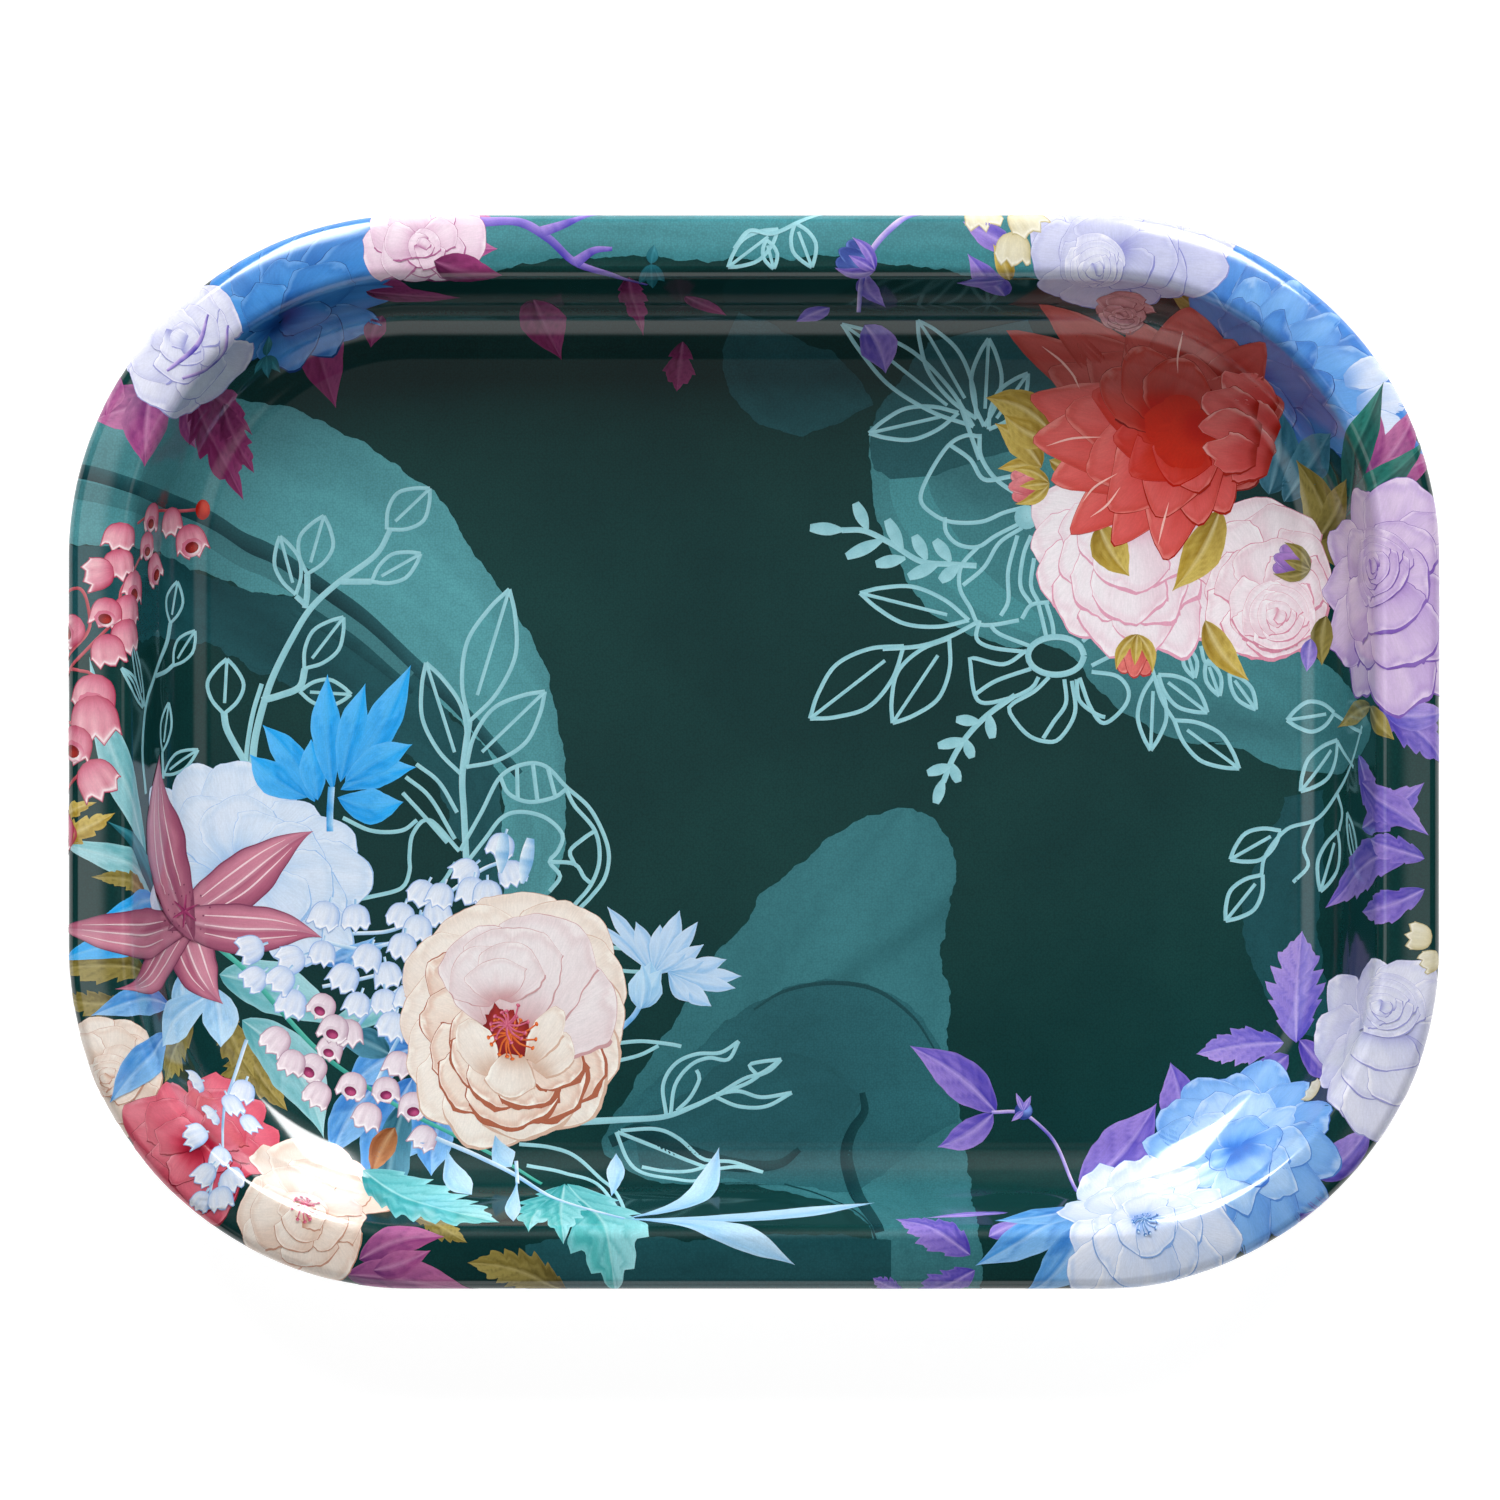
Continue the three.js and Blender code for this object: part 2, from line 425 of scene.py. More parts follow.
def petal(ink, at, heading, length, width, tone, waist=0.35, droop=0.35, sharp=2.3, ruffle=0.03, lobes=2.0,
          bend=0.0, seed=0.0, spike=0.0, shadow=0.3, **paint):
    """A petal with a wavy end, out of its root at a heading.

    Its end droops towards its sides. The ruffle is a soft wave along its end and the spike a row of
    points, as shares of its length. The shadow beside it is about that many millimetres wide.
    """
    full_t, full_s = grid(max(9, int(length / 0.5)), max(11, int(width / 0.45)))
    t, s = np.clip(full_t, 0, 1), np.clip(full_s, -1, 1)
    top, wave = petal_end(s, seed, droop, sharp, ruffle, lobes, spike)
    wide = waist + (1 - waist) * np.sin(math.pi / 2 * t ** 0.85)
    x = s * width / 2 * wide * (1 + 0.07 * wobble(t * 3 + s, seed))
    y = t * length * top
    x = x + bend * length * t * t
    grain = grain_of(s * width, y * 0.25, seed)
    ahead, aside = math.cos(heading - LIGHT_HEADING), math.sin(heading - LIGHT_HEADING)
    ragged = shadow * (0.8 + 0.5 * wobble(s * 2 + t * 2, seed))
    beside = full_s - s
    x = x + beside * ragged * (0.25 + np.clip(-aside * np.sign(beside), 0, 1))
    y = y + (full_t - t) * ragged * (0.25 + max(0, -ahead))
    colour = petal_colour(tone, t, s, wave, ahead, aside, seed, **paint)
    dark = tone[-1] if len(tone) > 4 else tone[0]
    colour = mix(colour, dark, ((full_t > 1) | (np.abs(full_s) > 1)) * (0.95 if shadow else 0))
    ink.patch(turned(x, y, at, heading), colour, grain)


def leaf_half_width(t, seed, fat, teeth, bite):
    """Half of a leaf's width along it, as a share of half its full width, toothed where it has teeth."""
    half = np.sin(math.pi * t ** (math.log(0.5) / math.log(fat))) ** (0.8 + 0.45 * t)
    if teeth:
        depth = bite * (1 + 0.5 * wobble(t * 7, seed)) * smooth_step(t * 4) * smooth_step((1 - t) * 5)
        half = half * (1 - depth * (1 - (t * teeth) % 1.0))
    return half * (1 + 0.08 * wobble(t * 4, seed))


def leaf_colour(tone, t, s, columns, seed, ribs=6, rib=0.6, edge=0.45, dark_edge=False):
    """A leaf's colour: one half lighter than the other, with a sheen, a midrib and side ribs."""
    dark, mid, light, vein = tone
    colour = mix(dark, mid, smooth_step(0.2 + t * 0.9))
    colour = mix(colour, light, smooth_step(0.5 - s * 3) * (0.35 + 0.5 * t))
    sheen = (s - 0.45 + 0.25 * wobble(t * 3, seed)) / 0.16
    colour = mix(colour, light, 0.5 * np.exp(-sheen ** 2) * np.sin(math.pi * t))
    fringe = (t * ribs - 0.22 * np.abs(s) * ribs) % 1.0
    colour = mix(colour, dark, 0.4 * smooth_step((fringe - 0.6) / 0.4) * (1 - np.abs(s) * 0.4))
    colour = mix(colour, light, 0.35 * smooth_step(1 - fringe * 3) * np.abs(s))
    colour = mix(colour, vein, rib * smooth_step(1 - np.abs(s) * columns / 2.2) * (1 - 0.5 * t))
    return mix(colour, dark if dark_edge else light, edge * smooth_step((np.abs(s) - 0.72) / 0.28))


def leaf(ink, start, end, width, tone, curl=0.0, teeth=0, bite=0.35, fat=0.42, seed=0.0, hook=0.0, **paint):
    """A pointed leaf from its stalk to its tip, bowed by its curl and bent at its tip by its hook."""
    length = distance(start, end)
    rows = max(10, int(length / 0.55), teeth * 7)
    columns = max(7, int(width / 0.5) | 1)
    t = np.linspace(0, 1, rows)
    s = np.linspace(-1, 1, columns)
    spine = np.stack([start[0] + (end[0] - start[0]) * t, start[1] + (end[1] - start[1]) * t], 1)
    bow = curl * length * 0.25 * np.sin(math.pi * t) + hook * length * t ** 5
    spine = spine + bow[:, None] * right_of(direction(heading_of(start, end)))
    way, side = ways(spine)
    half = width / 2 * leaf_half_width(t, seed, fat, teeth, bite)
    xy = spine[:, None] + (s[None, :] * half[:, None])[..., None] * side[:, None]
    lean = np.abs(s[None, :]) ** 3 * half[:, None] * (0.45 if teeth else 0.1)
    xy = xy + lean[..., None] * way[:, None]
    t, s = np.meshgrid(t, s, indexing="ij")
    colour = leaf_colour(tone, t, s, columns, seed, **paint)
    ink.patch(xy, colour, grain_of(s * width * 1.2, t * length * 0.3, seed))


def curve(points):
    """A smooth curve through points, as evenly spaced points."""
    points = np.asarray(points, float)
    padded = np.concatenate([[2 * points[0] - points[1]], points, [2 * points[-1] - points[-2]]])
    out = []
    for a, b, c, d in zip(padded, padded[1:], padded[2:], padded[3:]):
        count = max(2, int(np.hypot(*(c - b)) / CURVE_STEP))
        t = np.linspace(0, 1, count, endpoint=False)[:, None]
        out.append(0.5 * (2 * b + (c - a) * t + (2 * a - 5 * b + 4 * c - d) * t ** 2
                          + (3 * b - a - 3 * c + d) * t ** 3))
    out.append(points[-1:])
    return np.concatenate(out)


def stroke(ink, points, width, tone, start=1.0, end=1.0, belly=0.0, seed=0.0):
    """A brush line through points: its width at each end and the swell between them."""
    path = curve(points)
    t = np.linspace(0, 1, len(path))
    half = width / 2 * (start + (end - start) * t + belly * np.sin(math.pi * t))
    columns = max(4, int(half.max() * 2 / 0.55) + 1)
    s = np.linspace(-1, 1, columns)
    xy = path[:, None] + (s[None, :] * half[:, None])[..., None] * ways(path)[1][:, None]
    t, s = np.meshgrid(t, s, indexing="ij")
    colour = mix(tone[0], tone[-1], np.clip(0.5 + 0.3 * wobble(t * 5, seed) - 0.35 * s, 0, 1))
    ink.patch(xy, colour, grain_of(s * width, t * 4, seed))


def disc(ink, at, radius, tone, squash=1.0, heading=0.0, seed=0.0, ragged=0.0):
    """A round berry or eye, lighter towards the light."""
    sides = max(14, int(radius * 12))
    rings = np.linspace(0.02, 1, max(5, int(radius / 0.45)))
    angle = np.linspace(0, 2 * math.pi, sides + 1)
    r, a = np.meshgrid(rings, angle, indexing="ij")
    grown = r * radius * (1 + ragged * wobble(np.cos(a) * 4 + np.sin(a) * 3, seed) * r)
    xy = turned(grown * np.cos(a), grown * squash * np.sin(a), at, heading)
    spot = np.clip(1 - np.hypot(r * np.cos(a) + 0.3, r * np.sin(a) - 0.35) / 1.1, 0, 1)
    colour = mix(tone[0], tone[-1], smooth_step(spot * 1.3))
    colour = mix(colour, tone[0], 0.5 * smooth_step((r - 0.75) / 0.25))
    ink.patch(xy, colour, grain_of(r * radius * np.cos(a), r * radius * np.sin(a), seed))


def wash(ink, left, right, tone, ragged=0.35, seed=0.0, bands=(), full=0.75):
    """A pool of thin colour between two sides, with a ragged edge and darker bands across it.

    Each band is (place, thickness, slope, depth): shares of the pool's length, and then of its tone.
    """
    left = curve([flat(*point) for point in left])
    right = curve([flat(*point) for point in right])
    rows = max(len(left), len(right))
    spread = np.linspace(0, 1, rows)
    sides = []
    for path, way in ((left, -1), (right, 1)):
        reached = np.linspace(0, 1, len(path))
        side = np.stack([np.interp(spread, reached, path[:, k]) for k in (0, 1)], 1)
        out = ways(side)[1] * way
        jag = wobble(spread * rows * 0.12, seed + way) + 0.6 * wobble(spread * rows * 0.31, seed - way)
        sides.append(side + out * (ragged * jag)[:, None])
    span = np.median(np.hypot(*(sides[0] - sides[1]).T))
    columns = max(6, int(span / 0.32))
    s = np.sin(np.linspace(-1, 1, columns) * math.pi / 2) * 0.5 + 0.5
    xy = sides[0][:, None] * (1 - s)[None, :, None] + sides[1][:, None] * s[None, :, None]
    t, s = np.meshgrid(spread, s, indexing="ij")
    amount = full + 0.14 * wobble(s * 4 + t * 2, seed) + 0.1 * wobble(t * 6 - s * 2, seed + 3)
    for centre, thick, slope, depth in bands:
        amount = amount - depth * np.exp(-((t - centre - slope * (s - 0.5)) / thick) ** 2)
    colour = mix(tone[0], tone[-1], np.clip(amount, 0, 1.15))
    ink.patch(xy, colour, grain_of(xy[..., 0] * 0.3, xy[..., 1] * 0.3, seed))


# ---- Brushwork: flowers and sprays --------------------------------------------------------------

GOLDEN = math.radians(137.5)


def tip_of(at, heading, reach):
    """The point of the flat sheet at a reach from a plan position, in a direction."""
    return flat(at[0] + reach * math.cos(heading), at[1] + reach * math.sin(heading))


def reach_towards(reaches, heading):
    """A flower's reach in a direction, from its reaches at even turns from +X, anticlockwise."""
    turn = (heading / (2 * math.pi)) % 1 * len(reaches)
    return np.interp(turn, np.arange(len(reaches) + 1), list(reaches) + [reaches[0]])


def bloom(ink, at, reaches, rings, tone, seed=0.0, **shape):
    """A full flower: petals set round its heart at golden turns, from the outside in.

    The heart and the reaches are plan positions. Each ring is (number of petals, share of the reach,
    width as a share of the reach).
    """
    heart = flat(*at)
    mean = 0
    for k, reach in enumerate(reaches):
        mean += distance(heart, tip_of(at, 2 * math.pi * k / len(reaches), reach))
    mean /= len(reaches)
    disc(ink, heart, mean * 0.22, tone[:2])
    placed = 0
    for number, share, wide in rings:
        for _ in range(number):
            turn = seed + placed * GOLDEN
            reach = reach_towards(reaches, turn) * share * (1 + 0.06 * wobble(placed * 1.3, seed))
            tip = tip_of(at, turn, reach)
            length = distance(heart, tip)
            petal(ink, heart + 0.1 * (tip - heart), heading_of(heart, tip), length * 0.92,
                  wide * (length + mean * share) / 2, tone, seed=seed + placed * 0.61,
                  bend=0.08 * wobble(placed * 2.1, seed), **shape)
            placed += 1


def sweep(ink, at, rows, tone, seed=0.0, **shape):
    """Petals out of a flower's heart, each over the last: (tip x, tip y, width, share left bare)."""
    heart = flat(*at)
    for k, (x, y, wide, bare) in enumerate(rows):
        tip = flat(x, y)
        root = heart + bare * (tip - heart)
        petal(ink, root, heading_of(root, tip), distance(root, tip), wide, tone,
              seed=seed + k * 1.73 + bare, **shape)


def swirl(ink, at, cup, tone, seed=0.0, turns=3):
    """The cupped petals that wind in to a rose's heart."""
    heart = flat(*at)
    for k in range(4 * turns):
        size = cup * (1 - k / (4 * turns)) ** 0.8 + 0.4
        heading = seed + k * 2.2
        back = 0.35 * size
        root = heart - back * direction(heading)
        petal(ink, root, heading, size + back, size * 1.7, tone, waist=0.7, droop=0.3, ruffle=0.02,
              lobes=1, under=0.5, veins=2, seed=seed + k, lip=0.7, shadow=0.2, crease=0.1)


def rose(ink, at, reaches, tone, seed=0.0, turns=3):
    """A small rose: broad outer petals, then cupped ones winding in to a tight swirl."""
    bloom(ink, at, reaches, [(7, 1.0, 1.0), (5, 0.82, 1.0), (4, 0.62, 1.0)], tone, seed,
          waist=0.45, droop=0.3, ruffle=0.04, lobes=1.6, under=0.5, lip=0.6, shadow=0.25)
    swirl(ink, at, min(reaches) * 0.5, tone, seed, turns)


def stamens(ink, at, radius, tone, number=14, seed=0.0):
    """Short curved threads with knobs at their ends, round a flower's heart."""
    for k in range(number):
        heading = seed + k * GOLDEN
        reach = radius * (0.55 + 0.45 * ((k * 0.37) % 1))
        way = direction(heading)
        middle = at + way * reach * 0.5 + right_of(way) * 0.12 * reach
        stroke(ink, [at, middle, at + way * reach], 0.32, tone, 1, 0.6, seed=k)
        disc(ink, at + way * reach, 0.3, tone, 0.7, heading)


def star_petal(ink, start, end, width, tone, curl=0.0, hook=0.0, seed=0.0):
    """A lily's pointed petal, dark-edged, with a pale rib and pale streaks beside it."""
    leaf(ink, start, end, width * 1.06, [tone[0]] * 4, curl, fat=0.5, seed=seed, hook=hook)
    leaf(ink, start, end, width, tone, curl, fat=0.5, ribs=1, seed=seed, rib=0.5, hook=hook, edge=0.6,
         dark_edge=True)
    length = distance(start, end)
    side = right_of(direction(heading_of(start, end)))
    for offset in (-0.24, 0.0, 0.22):
        points = []
        for t in (0.3, 0.5, 0.7, 0.85):
            spine = np.asarray(start) + t * (np.asarray(end) - np.asarray(start))
            bow = curl * length * 0.25 * math.sin(math.pi * t) + hook * length * t ** 5
            points.append(spine + side * (bow + offset * width * math.sin(math.pi * t)))
        stroke(ink, points, 0.2, [tone[3], tone[3]], 0.5, 0.2, 0.8, seed)


def bell(ink, at, heading, size, tone, heart=None, seed=0.0):
    """A small nodding bell hung by its crown: a round cup with a scalloped mouth, open if it faces us."""
    deep, mid, light, rim = tone[:4]
    full_t, full_s = grid(11, 11)
    t, s = np.clip(full_t, 0, 1), np.clip(full_s, -1, 1)
    half = size * (0.1 + 0.42 * np.sin(math.pi * 0.62 * t ** 0.6) + 0.07 * t ** 6)
    mouth = 1 + 0.13 * np.cos(s * 2.6 * math.pi + seed) * t ** 2 - 0.16 * s * s
    facing = s * math.sin(heading - LIGHT_HEADING)
    pleat = np.exp(-((np.abs(s + 0.1 * math.sin(seed)) - 0.36) / 0.11) ** 2) * t
    colour = mix(mid, light, smooth_step(t * 1.6) * np.clip(0.75 + 0.6 * facing, 0, 1))
    colour = mix(colour, deep, 0.55 * smooth_step((np.abs(s) - 0.6) / 0.4) * (0.7 - 0.5 * facing))
    colour = mix(colour, deep, 0.4 * pleat + 0.5 * smooth_step(1 - t * 5))
    colour = mix(colour, rim, smooth_step((t - 0.84) / 0.08))
    colour = mix(colour, deep, 0.5 * smooth_step((t - 0.97) / 0.03))
    colour = mix(colour, deep, 0.8 * ((full_t > 1) | (np.abs(full_s) > 1)))
    x = s * half + 0.14 * (full_s - s)
    y = t * size * mouth + 0.14 * (full_t - t)
    ink.patch(turned(x, y, at, heading), colour, grain_of(s * size, t * size * 0.3, seed))
    if heart is not None:
        middle = at + 0.74 * size * direction(heading)
        disc(ink, middle, size * 0.37, [mid, rim], 0.8, heading, seed, 0.1)
        disc(ink, middle, size * 0.24, heart, 0.75, heading, seed)


def bells(ink, places, size, tone, stem=None, heart=None, seed=0.0):
    """Nodding bells at (x, y, heading in degrees), on short stalks."""
    for k, (x, y, degrees) in enumerate(places):
        heading = math.radians(degrees)
        at = flat(x, y)
        way = direction(heading)
        if stem:
            stroke(ink, [at - way * size * 0.7, at - way * size * 0.2, at], 0.35, stem, seed=seed + k)
        bell(ink, at - way * size * 0.5, heading, size * (1 + 0.12 * wobble(k * 1.9, seed)), tone,
             heart if k % 2 == 0 else None, seed + k)


def line_leaf(ink, start, end, width, line=0.5):
    """A leaf drawn in outline: two bowed sides and a midrib."""
    start, end = flat(*start), flat(*end)
    way = end - start
    side = right_of(way) / np.hypot(*way)
    for swell in (-0.5, 0.5):
        out = side * width * swell
        points = [start, start + way * 0.25 + out * 0.72, start + way * 0.55 + out,
                  start + way * 0.82 + out * 0.55, end]
        stroke(ink, points, line, LINE, seed=swell)
    stroke(ink, [end, end - way * 0.4, end - way * 0.8], line * 0.85, LINE)


def line(ink, points, width=0.5, start=1.0, end=1.0, tone=None):
    """A drawn line through plan positions."""
    stroke(ink, [flat(*point) for point in points], width, tone or LINE, start, end)


def plan_leaf(ink, start, end, width, tone, **shape):
    """A leaf between two plan positions."""
    leaf(ink, flat(*start), flat(*end), width, tone, **shape)


def plan_stroke(ink, points, width, tone, *ends, **shape):
    """A brush line through plan positions."""
    stroke(ink, [flat(*point) for point in points], width, tone, *ends, **shape)


def bud(ink, at, heading, size, tone, sepal):
    """A closed bud: folded petals held in two long sepals."""
    at = flat(*at)
    heading = math.radians(heading)
    way = direction(heading)
    side = right_of(way)
    for turn in (-0.35, 0.35, 0.0):
        petal(ink, at - way * size * 0.45, heading + turn, size, size * 0.62, tone, waist=0.5, droop=0.5,
              ruffle=0.03, lobes=1, veins=2, seed=turn)
    root = at - way * size * 0.62
    for turn in (-1, 1):
        leaf(ink, root, at + way * size * 0.42 + side * turn * size * 0.5, size * 0.34, sepal,
             curl=turn * 0.5, seed=turn)
    leaf(ink, root, at + way * size * 0.25, size * 0.32, sepal)


# ---- Materials ----------------------------------------------------------------------------------

VARNISH_ROUGHNESS = 0.1
VARNISH_IOR = 1.5
DOTS_PER_METRE = 3400


def new_material(name):
    """An empty node material with a Principled shader: itself, its nodes, its links and the shader."""
    material = bpy.data.materials.new(name)
    material.use_nodes = True
    nodes = material.node_tree.nodes
    nodes.clear()
    shader = nodes.new("ShaderNodeBsdfPrincipled")
    output = nodes.new("ShaderNodeOutputMaterial")
    material.node_tree.links.new(shader.outputs[0], output.inputs[0])
    return material, nodes, material.node_tree.links, shader


def scaled_noise(nodes, links, vector, scale, detail=3.0, rough=0.55):
    """A soft noise at that many cells to a unit of the vector."""
    noise = nodes.new("ShaderNodeTexNoise")
    noise.inputs["Scale"].default_value = scale
    noise.inputs["Detail"].default_value = detail
    noise.inputs["Roughness"].default_value = rough
    links.new(vector, noise.inputs["Vector"])
    return noise.outputs["Fac"]


def remap(nodes, links, value, *limits):
    """A value moved from one range to another: its limits before, then after."""
    node = nodes.new("ShaderNodeMapRange")
    for slot, number in zip(("From Min", "From Max", "To Min", "To Max"), limits):
        node.inputs[slot].default_value = number
    links.new(value, node.inputs["Value"])
    return node.outputs["Result"]


def multiply(nodes, links, a, b):
    """The product of two values."""
    node = nodes.new("ShaderNodeMath")
    node.operation = "MULTIPLY"
    links.new(a, node.inputs[0])
    links.new(b, node.inputs[1])
    return node.outputs[0]


def scaled_colour(nodes, links, colour, factor):
    """A colour made lighter or darker by a factor."""
    scale = nodes.new("ShaderNodeVectorMath")
    scale.operation = "SCALE"
    links.new(colour, scale.inputs[0])
    links.new(factor, scale.inputs["Scale"])
    return scale.outputs[0]


def two_tone(nodes, links, factor, low, high, start=0.0, end=1.0):
    """A colour that goes from a low one to a high one as the factor rises."""
    ramp = nodes.new("ShaderNodeValToRGB")
    for element, colour, place in zip(ramp.color_ramp.elements, (low, high), (start, end)):
        element.position = place
        element.color = (*colour, 1)
    links.new(factor, ramp.inputs["Fac"])
    return ramp.outputs["Color"]


def varnish(shader):
    """Gloss over print."""
    shader.inputs["Roughness"].default_value = VARNISH_ROUGHNESS
    shader.inputs["Specular IOR Level"].default_value = 0.5
    shader.inputs["IOR"].default_value = VARNISH_IOR


def dot_screen(nodes, links, strength):
    """The print's fine screen: dots about a third of a millimetre apart, as a factor near 1."""
    place = nodes.new("ShaderNodeTexCoord")
    dots = nodes.new("ShaderNodeTexVoronoi")
    dots.inputs["Scale"].default_value = DOTS_PER_METRE
    dots.inputs["Randomness"].default_value = 0.75
    links.new(place.outputs["Object"], dots.inputs["Vector"])
    return remap(nodes, links, dots.outputs["Distance"], 0.1, 0.75, 1 + strength, 1 - strength)


def ink_material(name, streak, screen):
    """Printed ink under varnish: the patch's own colour, brush streaks along its grain, the screen."""
    _, nodes, links, shader = new_material(name)
    colour = nodes.new("ShaderNodeAttribute")
    colour.attribute_name = "ink"
    grain = nodes.new("ShaderNodeAttribute")
    grain.attribute_name = "grain"
    brush = scaled_noise(nodes, links, grain.outputs["Vector"], 2.6, 4)
    value = remap(nodes, links, brush, 0.25, 0.75, 1 - streak, 1 + streak)
    value = multiply(nodes, links, value, dot_screen(nodes, links, screen))
    printed = scaled_colour(nodes, links, colour.outputs["Color"], value)
    links.new(printed, shader.inputs["Base Color"])
    varnish(shader)


def ground_material():
    """The dark green ground: an uneven wash and a fine print screen under varnish."""
    material, nodes, links, shader = new_material("print_ground")
    place = nodes.new("ShaderNodeTexCoord")
    cloud = scaled_noise(nodes, links, place.outputs["Object"], 22, 5, 0.6)
    dark, light = linear(shade("0f3333")), linear(shade("183f3d"))
    green = two_tone(nodes, links, cloud, dark, light, 0.35, 0.7)
    screened = scaled_colour(nodes, links, green, dot_screen(nodes, links, 0.16))
    links.new(screened, shader.inputs["Base Color"])
    varnish(shader)
    return material


def tinplate_material():
    """Bright tinplate under clear lacquer, with faint rolling lines and handling marks."""
    material, nodes, links, shader = new_material("tinplate_back")
    place = nodes.new("ShaderNodeTexCoord")
    stretch = nodes.new("ShaderNodeMapping")
    stretch.inputs["Scale"].default_value = (40, 1800, 40)
    links.new(place.outputs["Object"], stretch.inputs["Vector"])
    lines = scaled_noise(nodes, links, stretch.outputs["Vector"], 1, 3)
    marks = scaled_noise(nodes, links, place.outputs["Object"], 60, 5, 0.65)
    colour = two_tone(nodes, links, marks, (0.50, 0.51, 0.51), (0.68, 0.68, 0.67))
    links.new(colour, shader.inputs["Base Color"])
    links.new(remap(nodes, links, lines, 0.3, 0.7, 0.22, 0.36), shader.inputs["Roughness"])
    shader.inputs["Metallic"].default_value = 1
    shader.inputs["Coat Weight"].default_value = 0.4
    shader.inputs["Coat Roughness"].default_value = 0.1
    return material


def wire_material():
    """Galvanised steel wire, dull and slightly mottled."""
    material, nodes, links, shader = new_material("wire_steel")
    place = nodes.new("ShaderNodeTexCoord")
    mottle = scaled_noise(nodes, links, place.outputs["Object"], 900, 3)
    colour = two_tone(nodes, links, mottle, (0.22, 0.23, 0.24), (0.40, 0.41, 0.42))
    links.new(colour, shader.inputs["Base Color"])
    links.new(remap(nodes, links, mottle, 0.3, 0.7, 0.35, 0.55), shader.inputs["Roughness"])
    shader.inputs["Metallic"].default_value = 1
    return material


def floor_material():
    """White paper that glows a little, so that it stays white under the tray's light."""
    material, nodes, links, shader = new_material("white_paper")
    place = nodes.new("ShaderNodeTexCoord")
    mottle = scaled_noise(nodes, links, place.outputs["Object"], 3, 2)
    colour = two_tone(nodes, links, mottle, (0.40, 0.40, 0.40), (0.42, 0.42, 0.42))
    links.new(colour, shader.inputs["Base Color"])
    shader.inputs["Roughness"].default_value = 0.9
    shader.inputs["Specular IOR Level"].default_value = 0.0
    shader.inputs["Emission Color"].default_value = (1, 1, 1, 1)
    shader.inputs["Emission Strength"].default_value = 0.85
    return material


# ---- Studio -------------------------------------------------------------------------------------

def add_camera():
    """Straight above, through a long lens, with the tray filling the picture."""
    lens, sensor = 400, 36
    camera = bpy.data.cameras.new("camera")
    camera.lens = lens
    camera.sensor_width = sensor
    camera.clip_start = 0.05
    camera.clip_end = 20
    holder = bpy.data.objects.new("camera", camera)
    distance_up = FRAME_WIDTH * MM * lens / sensor
    holder.location = (FRAME_MIDDLE[0] * MM, FRAME_MIDDLE[1] * MM, HEIGHT * MM + distance_up)
    bpy.context.scene.collection.objects.link(holder)
    bpy.context.scene.camera = holder


def soft_edges(lamp, axes=(0, 1), fade_share=0.25):
    """A lamp that fades towards its edges, as light through a diffuser does."""
    lamp.use_nodes = True
    nodes, links = lamp.node_tree.nodes, lamp.node_tree.links
    place = nodes.new("ShaderNodeNewGeometry")
    parts = nodes.new("ShaderNodeSeparateXYZ")
    links.new(place.outputs["Parametric"], parts.inputs[0])
    fades = []
    for axis in axes:
        for near, far in ((0.0, fade_share), (1.0, 1 - fade_share)):
            fade = nodes.new("ShaderNodeMapRange")
            fade.interpolation_type = "SMOOTHSTEP"
            fade.inputs["From Min"].default_value = near
            fade.inputs["From Max"].default_value = far
            links.new(parts.outputs[axis], fade.inputs["Value"])
            fades.append(fade.outputs["Result"])
    strength = fades[0]
    for fade in fades[1:]:
        strength = multiply(nodes, links, strength, fade)
    links.new(strength, nodes["Emission"].inputs["Strength"])


def place_lamp(name, place, wide, tall, strength, lights):
    """A rectangular lamp. Its strength is its brightness, where 1 is white paper in this light.

    A lamp either lights the tray evenly or is what its varnish mirrors.
    """
    lamp = bpy.data.lights.new(name, "AREA")
    lamp.shape = "RECTANGLE"
    lamp.size = wide
    lamp.size_y = tall
    lamp.energy = strength * math.pi * wide * tall
    holder = bpy.data.objects.new(name, lamp)
    holder.matrix_world = place
    holder.visible_camera = False
    holder.visible_glossy = not lights
    holder.visible_diffuse = lights
    bpy.context.scene.collection.objects.link(holder)
    return lamp


def softbox(name, azimuth, tilt, distance, wide, tall, strength, lights=False):
    """A softbox facing the tray. Its azimuth is from +X and its tilt from straight above, in degrees."""
    azimuth, tilt = math.radians(azimuth), math.radians(tilt)
    away = Vector((math.sin(tilt) * math.cos(azimuth), math.sin(tilt) * math.sin(azimuth), math.cos(tilt)))
    turn = Matrix.Rotation(azimuth + math.pi / 2, 4, "Z") @ Matrix.Rotation(tilt, 4, "X")
    place = Matrix.Translation(distance * away) @ turn
    lamp = place_lamp(name, place, wide, tall, strength, lights)
    if not lights:
        soft_edges(lamp)


def strip_lamp(name, start, end, wide, strength):
    """A long narrow lamp between two points in space, facing the tray."""
    start, end = Vector(start), Vector(end)
    middle = (start + end) / 2
    along = (end - start).normalized()
    back = (middle - along * middle.dot(along)).normalized()
    turn = Matrix((along.cross(back), along, back)).transposed().to_4x4()
    lamp = place_lamp(name, Matrix.Translation(middle) @ turn, wide, (end - start).length, strength, False)
    soft_edges(lamp, (1,), 0.08)


